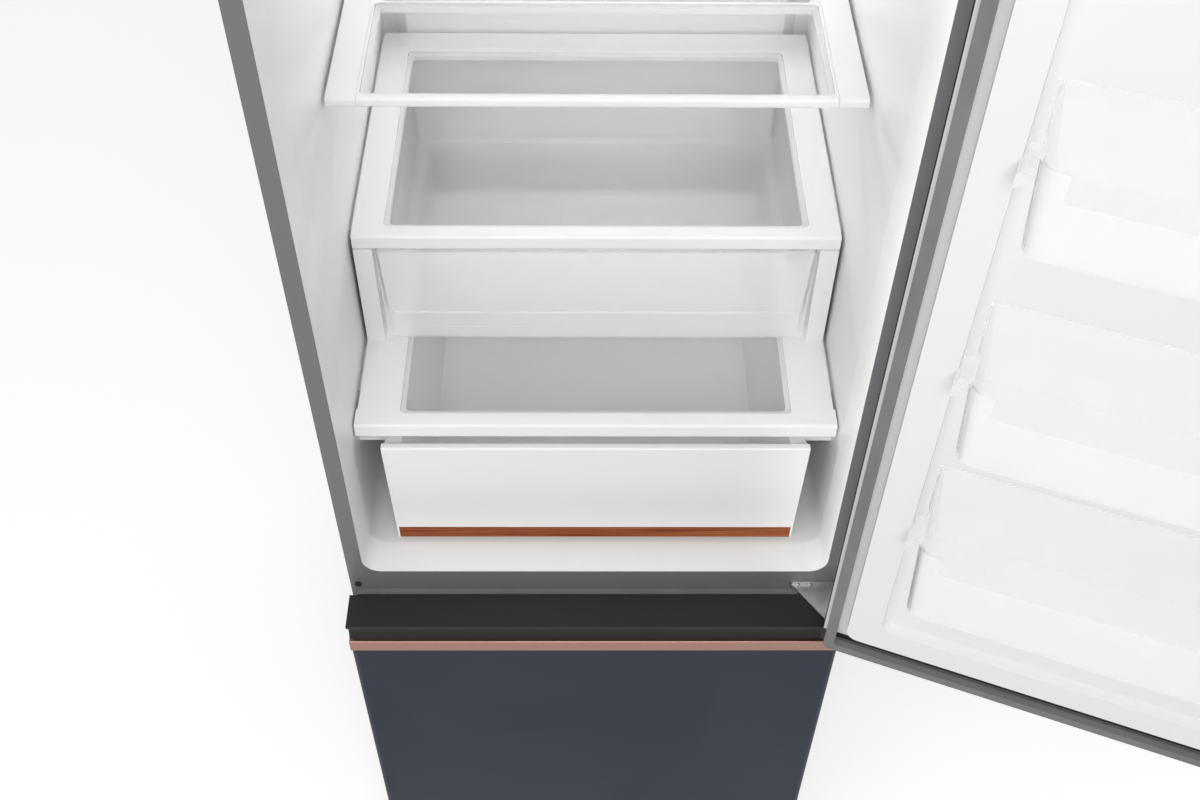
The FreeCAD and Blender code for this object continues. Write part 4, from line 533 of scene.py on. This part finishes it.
def all_finishes(settings):
    """Every finish by the record's slot name."""
    return {
        "cabinet_grey": painted_steel(
            "Cabinet Paint", tuple(settings.cabinet), roughness=0.42, coat=0.15, shine=0.22
        ),
        "navy": painted_steel("Navy Front", tuple(settings.navy), roughness=0.46, coat=0.05, shine=0.1),
        "cap_dark": plastic(
            "Dark Moulding", (0.024, 0.024, 0.025), roughness=0.55,
            grain=1100.0, strength=0.35, shine=0.2,
        ),
        "copper": rolled_metal("Copper Strip", tuple(settings.copper), roughness=0.36),
        "liner_white": plastic(
            "Formed Liner", tuple(settings.liner), roughness=0.36,
            grain=420.0, strength=0.12, tone=0.965, coat=0.1,
        ),
        "trim_white": plastic(
            "White Trim", tuple(settings.trim), roughness=0.3,
            grain=700.0, strength=0.12, tone=0.965, coat=0.2,
        ),
        "clear": see_through(
            "Shelf Glass", (0.92, 0.922, 0.921), roughness=0.01, coat=0.55, clearness=0.97
        ),
        "clear_plastic": see_through(
            "Clear Drawer", (0.966, 0.966, 0.965), roughness=0.06, coat=1.0, clearness=0.69
        ),
        "wood": veneer(settings),
        "seal_grey": soft_rubber("Door Seal", (0.17, 0.17, 0.173), roughness=0.62),
        "foam": rigid_foam(),
        "steel": rolled_metal("Zinc Steel", (0.6, 0.6, 0.61), roughness=0.38),
        "black_metal": painted_steel(
            "Black Enamel", (0.02, 0.02, 0.021), roughness=0.38, coat=0.2, shine=0.4
        ),
        "black_rubber": soft_rubber("Black Rubber", (0.022, 0.022, 0.022), roughness=0.7),
        "tube": rolled_metal("Drawn Tube", (0.66, 0.66, 0.67), roughness=0.3),
        "lamp": opal_lens(),
        "grey_plastic": plastic("Grey Moulding", (0.21, 0.21, 0.215), roughness=0.48, grain=1000.0),
    }


def looked_at(tree):
    """One where a surface is seen directly, in a reflection or through glass, otherwise zero."""
    path = tree.nodes.new("ShaderNodeLightPath")
    seen = path.outputs["Is Camera Ray"]
    for way in ("Is Glossy Ray", "Is Transmission Ray"):
        either = tree.nodes.new("ShaderNodeMath")
        either.operation = "MAXIMUM"
        tree.links.new(seen, either.inputs[0])
        tree.links.new(path.outputs[way], either.inputs[1])
        seen = either.outputs["Value"]
    return seen


# Modelling helpers


def clear_selection():
    """Leaves edit mode and deselects everything."""
    if bpy.context.object and bpy.context.object.mode != "OBJECT":
        bpy.ops.object.mode_set(mode="OBJECT")
    bpy.ops.object.select_all(action="DESELECT")


def select_faces(piece, wanted):
    """In edit mode, selects the faces whose normal passes the test."""
    bpy.ops.mesh.select_mode(type="FACE")
    bpy.ops.mesh.select_all(action="DESELECT")
    bpy.ops.object.mode_set(mode="OBJECT")
    for face in piece.data.polygons:
        face.select = wanted(face.normal)
    bpy.ops.object.mode_set(mode="EDIT")


def round_edges(piece, width):
    """Bevels the sharp edges and smooths the rest."""
    bevel = piece.modifiers.new("Soft Edge", "BEVEL")
    bevel.width = width
    bevel.segments = EDGE_SEGMENTS
    bevel.limit_method = "ANGLE"
    bevel.angle_limit = SHARP_EDGE
    bpy.ops.object.modifier_apply(modifier=bevel.name)
    bpy.ops.object.shade_smooth_by_angle(angle=SMOOTH_BELOW)


def settle(piece):
    """Puts the piece's place, turn and scale into its mesh."""
    clear_selection()
    piece.select_set(True)
    bpy.context.view_layer.objects.active = piece
    bpy.ops.object.transform_apply(location=True, rotation=True, scale=True)


def cap_head(name, radius, height):
    """A smooth cap that faces -Y at the origin, stepped twice towards its middle."""
    clear_selection()
    bpy.ops.mesh.primitive_cylinder_add(
        vertices=HEAD_SIDES, radius=radius, depth=height,
        location=(0, -height / 2, 0), rotation=(math.radians(90), 0, 0),
    )
    head = bpy.context.object
    head.name = name
    settle(head)
    bpy.ops.object.mode_set(mode="EDIT")
    select_faces(head, lambda normal: normal.y < -FACING)
    for share, rise in CAP_STEPS:
        bpy.ops.mesh.inset(thickness=radius * share)
        bpy.ops.transform.translate(value=(0, -height * rise, 0))
    bpy.ops.object.mode_set(mode="OBJECT")
    round_edges(head, height * EDGE_SHARE)
    return head


def screw_head(name, radius, height):
    """A cap with a cross recess cut into it."""
    head = cap_head(name, radius, height)
    clear_selection()
    bars = []
    for turn in (0, 90):
        bpy.ops.mesh.primitive_cube_add(
            size=1, location=(0, -height * CROSS_PLACE, 0), rotation=(0, math.radians(turn), 0),
            scale=(radius * CROSS_LENGTH, height * CROSS_DEPTH, radius * CROSS_WIDTH),
        )
        bars.append(bpy.context.object)
    for bar in bars:
        bar.select_set(True)
    bpy.ops.object.join()
    cross = bpy.context.object
    clear_selection()
    bpy.context.view_layer.objects.active = head
    recess = head.modifiers.new("Cross Recess", "BOOLEAN")
    recess.object = cross
    recess.operation = "DIFFERENCE"
    recess.use_self = True
    bpy.ops.object.modifier_apply(modifier=recess.name)
    bpy.data.objects.remove(cross)
    return head


def waffle_sheet(name, middle, width, height, cell, sheet):
    """A thin sheet that faces -Y, pressed into small cells between low ribs."""
    clear_selection()
    bpy.ops.mesh.primitive_grid_add(
        x_subdivisions=round(width / cell), y_subdivisions=round(height / cell), size=1,
        location=middle, rotation=(math.radians(90), 0, 0),
    )
    screen = bpy.context.object
    screen.name = name
    screen.scale = (width, height, 1)
    settle(screen)
    bpy.ops.object.mode_set(mode="EDIT")
    bpy.ops.mesh.select_all(action="SELECT")
    bpy.ops.mesh.inset(
        use_individual=True, thickness=cell * RIB_SHARE, depth=-sheet * CELL_DEPTH_SHARE
    )
    bpy.ops.object.mode_set(mode="OBJECT")
    wall = screen.modifiers.new("Wall", "SOLIDIFY")
    wall.thickness = sheet
    wall.offset = -1.0
    bpy.ops.object.modifier_apply(modifier=wall.name)
    bpy.ops.object.shade_smooth_by_angle(angle=SMOOTH_BELOW)
    return screen


def placed_copies(head, places, body, finish, turn=0.0):
    """One copy of the head at each place, each with its own mesh, riding on the body."""
    for number, place in enumerate(places):
        copy = head.copy()
        copy.data = head.data.copy()
        copy.name = f"{head.name}_{number + 1}"
        bpy.context.scene.collection.objects.link(copy)
        copy.location = place
        copy.rotation_euler.z = turn
        settle(copy)
        copy.data.materials.clear()
        copy.data.materials.append(bpy.data.materials[finish])
        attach(copy, body)
    bpy.data.objects.remove(head)


# Operators


class REFRIGERATOR_OT_finishes(bpy.types.Operator):
    """Make every finish and give it to the pieces of its slot"""

    bl_idname = "refrigerator.finishes"
    bl_label = "Finish the Pieces"

    def execute(self, context):
        finishes = all_finishes(context.scene.refrigerator_finishes)
        for entry in frame["record"]["subparts"]:
            piece = frame["nodes"][entry["node"]]
            piece.data.materials.clear()
            piece.data.materials.append(finishes[entry["material_slot"]])
        return {"FINISHED"}


class REFRIGERATOR_OT_flange_plugs(bpy.types.Operator):
    """Cap the hinge hole that a right-hung door leaves open on the left"""

    bl_idname = "refrigerator.flange_plugs"
    bl_label = "Add Flange Plug"

    def execute(self, context):
        sizes = context.scene.refrigerator_fittings
        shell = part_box("cabinet_shell")[0]
        freezer_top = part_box("freezer_grip")[1][2]
        head = cap_head("flange_plug", sizes.plug_radius, sizes.plug_height)
        places = [(shell[0] + sizes.plug_inset, shell[1], freezer_top + sizes.plug_rise)]
        placed_copies(head, places, "cabinet", "Dark Moulding")
        return {"FINISHED"}


class REFRIGERATOR_OT_hinge_screws(bpy.types.Operator):
    """Screw the centre hinge to the flange"""

    bl_idname = "refrigerator.hinge_screws"
    bl_label = "Add Hinge Screws"

    def execute(self, context):
        sizes = context.scene.refrigerator_fittings
        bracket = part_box("centre_hinge")[0]
        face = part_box("cabinet_shell")[0][1] - sizes.bracket_sheet
        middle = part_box("freezer_grip")[1][2] + 2 * sizes.bracket_sheet
        head = screw_head("hinge_screw", sizes.screw_radius, sizes.screw_height)
        places = [
            (bracket[0] + step * sizes.screw_step, face, middle) for step in HINGE_SCREW_STEPS
        ]
        placed_copies(head, places, "cabinet", "Zinc Steel")
        return {"FINISHED"}


class REFRIGERATOR_OT_rear_screws(bpy.types.Operator):
    """Screw the rear cover and the back panel to the cabinet"""

    bl_idname = "refrigerator.rear_screws"
    bl_label = "Add Rear Screws"

    def execute(self, context):
        sizes = context.scene.refrigerator_fittings
        head = screw_head("rear_screw", sizes.screw_radius, sizes.screw_height)
        low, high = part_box("machine_cover")
        edge = sizes.screw_edge
        places = []
        for x in (low[0] + edge, (low[0] + high[0]) / 2, high[0] - edge):
            places += [(x, high[1], low[2] + edge), (x, high[1], high[2] - edge)]
        panel_low, panel_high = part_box("back_panel")
        span = panel_high[2] - panel_low[2] - 2 * edge
        for row in range(sizes.panel_rows):
            z = panel_low[2] + edge + span * row / (sizes.panel_rows - 1)
            places += [(panel_low[0] + edge, high[1], z), (panel_high[0] - edge, high[1], z)]
        placed_copies(head, places, "cabinet", "Zinc Steel", turn=math.pi)
        return {"FINISHED"}


class REFRIGERATOR_OT_painted_shade_screens(bpy.types.Operator):
    """Back the kick plate's slots with grey screens, sheets of painted shade that stand in for the shade
    under the cabinet, on both sides of its clips and between them
    """

    bl_idname = "refrigerator.dust_screens"
    bl_label = "Add Dust Screens"

    def execute(self, context):
        sizes = context.scene.refrigerator_fittings
        low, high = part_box("kick_plate")
        back = low[1] + sizes.kick_sheet
        height = high[2] - low[2] - 2 * sizes.screen_rim
        # The clips start half way from the plate's middle to its ends.
        # The screens stay clear of them by the thickness of a screen.
        inner = high[0] / 2 - sizes.screen_sheet
        outer = high[0] / 2 + sizes.clip_width + sizes.screen_sheet
        reach = high[0] - sizes.screen_edge
        spans = ((-reach, -outer), (-inner, inner), (outer, reach))
        for number, (start, end) in enumerate(spans):
            middle = ((start + end) / 2, back, (low[2] + high[2]) / 2)
            # Each screen is painted shade: a grey sheet behind the slots, where the slots would show
            # only the shade under the cabinet.
            screen = waffle_sheet(
                f"dust_screen_{number + 1}", middle, end - start, height,
                sizes.screen_cell, sizes.screen_sheet,
            )
            screen.data.materials.append(bpy.data.materials["Grey Moulding"])
            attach(screen, "cabinet")
        return {"FINISHED"}


class REFRIGERATOR_OT_stage(bpy.types.Operator):
    """Set the floor, the lamps, the sky and the camera"""

    bl_idname = "refrigerator.stage"
    bl_label = "Set the Stage"

    def execute(self, context):
        stage = context.scene.refrigerator_stage
        self.floor()
        for name, power, place, aim, side in STUDIO_LAMPS:
            self.lamp(name, place, aim, (side, side), getattr(stage, power))
        self.inner_lamps(stage.inside)
        self.gap_lamp(stage.gap)
        self.sky(stage.sky)
        self.camera(stage)
        context.scene.view_settings.view_transform = "Standard"
        return {"FINISHED"}

    def floor(self):
        """A wide pale floor that is brighter where it is seen than where it lights."""
        clear_selection()
        bpy.ops.mesh.primitive_plane_add(size=FLOOR_SIZE, location=(0, 0, 0))
        floor = bpy.context.object
        floor.name = "studio_floor"
        finish = Finish("Studio Floor", 0.75)
        grain = finish.effect("Moulded Grain", Scale=40.0, Drift=0.6)
        finish.colour_between((0.86, 0.86, 0.86), (0.89, 0.89, 0.89), grain.outputs["Tone"])
        seen = finish.add("ShaderNodeMath")
        seen.operation = "MULTIPLY"
        seen.inputs[1].default_value = FLOOR_GLOW
        finish.join(looked_at(finish.tree), seen.inputs[0])
        finish.join(seen.outputs["Value"], finish.shader.inputs["Emission Strength"])
        finish.shader.inputs["Emission Color"].default_value = WHITE
        floor.data.materials.append(finish.material)

    def lamp(self, name, place, aim, size, power, hidden=False):
        """A soft rectangle of light at place that faces aim. A hidden one lights but isn't seen."""
        data = bpy.data.lights.new(name, "AREA")
        data.shape = "RECTANGLE"
        data.size, data.size_y = size
        data.energy = power
        lamp = bpy.data.objects.new(name, data)
        lamp.location = place
        lamp.rotation_euler = (Vector(aim) - Vector(place)).to_track_quat("-Z", "Y").to_euler()
        if hidden:
            lamp.visible_camera = False
            lamp.visible_glossy = False
            lamp.visible_transmission = False
        bpy.context.scene.collection.objects.link(lamp)

    def inner_lamps(self, power):
        """Light that the pale lining throws back, from the rear of the three upper levels."""
        low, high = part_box("duct_panel")
        middle = (low[0] + high[0]) / 2
        front = low[1] - INNER_LAMP_OFF_WALL
        floors = [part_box(node)[1][2] for node in INNER_FLOORS]
        ceilings = [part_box(node)[0][2] for node in INNER_CEILINGS]
        for number, (below, above) in enumerate(zip(floors, ceilings)):
            height = (below + above) / 2
            self.lamp(
                f"Inner Lamp {number + 1}",
                (middle, front, height),
                (middle, front - 1, height + INNER_LAMP_RISE),
                ((high[0] - low[0]) * INNER_LAMP_WIDTH_SHARE, (above - below) * INNER_LAMP_HEIGHT_SHARE),
                power / len(floors),
                hidden=True,
            )

    def gap_lamp(self, power):
        """Light that the open door throws back onto the flange beside it."""
        low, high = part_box("fridge_liner")
        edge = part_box("cabinet_shell")[0][1]
        height = (low[2] + high[2]) / 2
        self.lamp(
            "Gap Lamp",
            (high[0] - GAP_LAMP_INSET, edge - GAP_LAMP_OFF_FLANGE, height),
            (high[0], edge, height),
            (GAP_LAMP_WIDTH, high[2] - low[2]),
            power,
            hidden=True,
        )

    def sky(self, strength):
        """Even light from all around, and plain white where it is seen."""
        world = bpy.data.worlds.new("Studio Sky")
        bpy.context.scene.world = world
        world.use_nodes = True
        tree = world.node_tree
        even = tree.nodes["Background"]
        even.inputs["Color"].default_value = WHITE
        even.inputs["Strength"].default_value = strength
        white = tree.nodes.new("ShaderNodeBackground")
        white.inputs["Color"].default_value = WHITE
        white.inputs["Strength"].default_value = 1.0
        blend = tree.nodes.new("ShaderNodeMixShader")
        tree.links.new(looked_at(tree), blend.inputs["Fac"])
        tree.links.new(even.outputs["Background"], blend.inputs[1])
        tree.links.new(white.outputs["Background"], blend.inputs[2])
        tree.links.new(blend.outputs["Shader"], tree.nodes["World Output"].inputs["Surface"])

    def camera(self, stage):
        """The photograph's camera."""
        data = bpy.data.cameras.new("Photograph View")
        data.sensor_width = SENSOR_WIDTH
        data.sensor_fit = "HORIZONTAL"
        data.lens = stage.lens
        camera = bpy.data.objects.new("Photograph View", data)
        pitch, yaw, roll = stage.camera_pitch, stage.camera_yaw, stage.camera_roll
        level = math.cos(pitch)
        ahead = Vector((math.sin(yaw) * level, math.cos(yaw) * level, -math.sin(pitch)))
        right = Vector((math.cos(yaw), -math.sin(yaw), 0))
        up = right.cross(ahead)
        turned_right = right * math.cos(roll) + up * math.sin(roll)
        turned_up = up * math.cos(roll) - right * math.sin(roll)
        turn = Matrix((turned_right, turned_up, -ahead)).transposed()
        camera.matrix_world = Matrix.Translation(stage.camera_place) @ turn.to_4x4()
        bpy.context.scene.collection.objects.link(camera)
        bpy.context.scene.camera = camera


class REFRIGERATOR_PT_panel(bpy.types.Panel):
    """Lists the steps in the order they are made"""

    bl_label = "Refrigerator"
    bl_idname = "REFRIGERATOR_PT_panel"
    bl_space_type = "VIEW_3D"
    bl_region_type = "UI"
    bl_category = "Refrigerator"

    def draw(self, context):
        column = self.layout.column()
        for step in STEPS:
            column.operator(step.bl_idname)
        scene = context.scene
        groups = (scene.refrigerator_finishes, scene.refrigerator_fittings, scene.refrigerator_stage)
        for group in groups:
            box = self.layout.box()
            for name in group.__annotations__:
                box.prop(group, name)


STEPS = (
    REFRIGERATOR_OT_finishes,
    REFRIGERATOR_OT_flange_plugs,
    REFRIGERATOR_OT_hinge_screws,
    REFRIGERATOR_OT_rear_screws,
    REFRIGERATOR_OT_painted_shade_screens,
    REFRIGERATOR_OT_stage,
)
CLASSES = (RefrigeratorFinishes, RefrigeratorFittings, RefrigeratorStage, *STEPS, REFRIGERATOR_PT_panel)


def register():
    for part in CLASSES:
        bpy.utils.register_class(part)
    scene = bpy.types.Scene
    scene.refrigerator_finishes = bpy.props.PointerProperty(type=RefrigeratorFinishes)
    scene.refrigerator_fittings = bpy.props.PointerProperty(type=RefrigeratorFittings)
    scene.refrigerator_stage = bpy.props.PointerProperty(type=RefrigeratorStage)


def unregister():
    del bpy.types.Scene.refrigerator_stage
    del bpy.types.Scene.refrigerator_fittings
    del bpy.types.Scene.refrigerator_finishes
    for part in reversed(CLASSES):
        bpy.utils.unregister_class(part)


def main():
    register()
    bpy.ops.refrigerator.finishes()
    bpy.ops.refrigerator.flange_plugs()
    bpy.ops.refrigerator.hinge_screws()
    bpy.ops.refrigerator.rear_screws()
    bpy.ops.refrigerator.dust_screens()
    bpy.ops.refrigerator.stage()


if __name__ == "__main__":
    main()
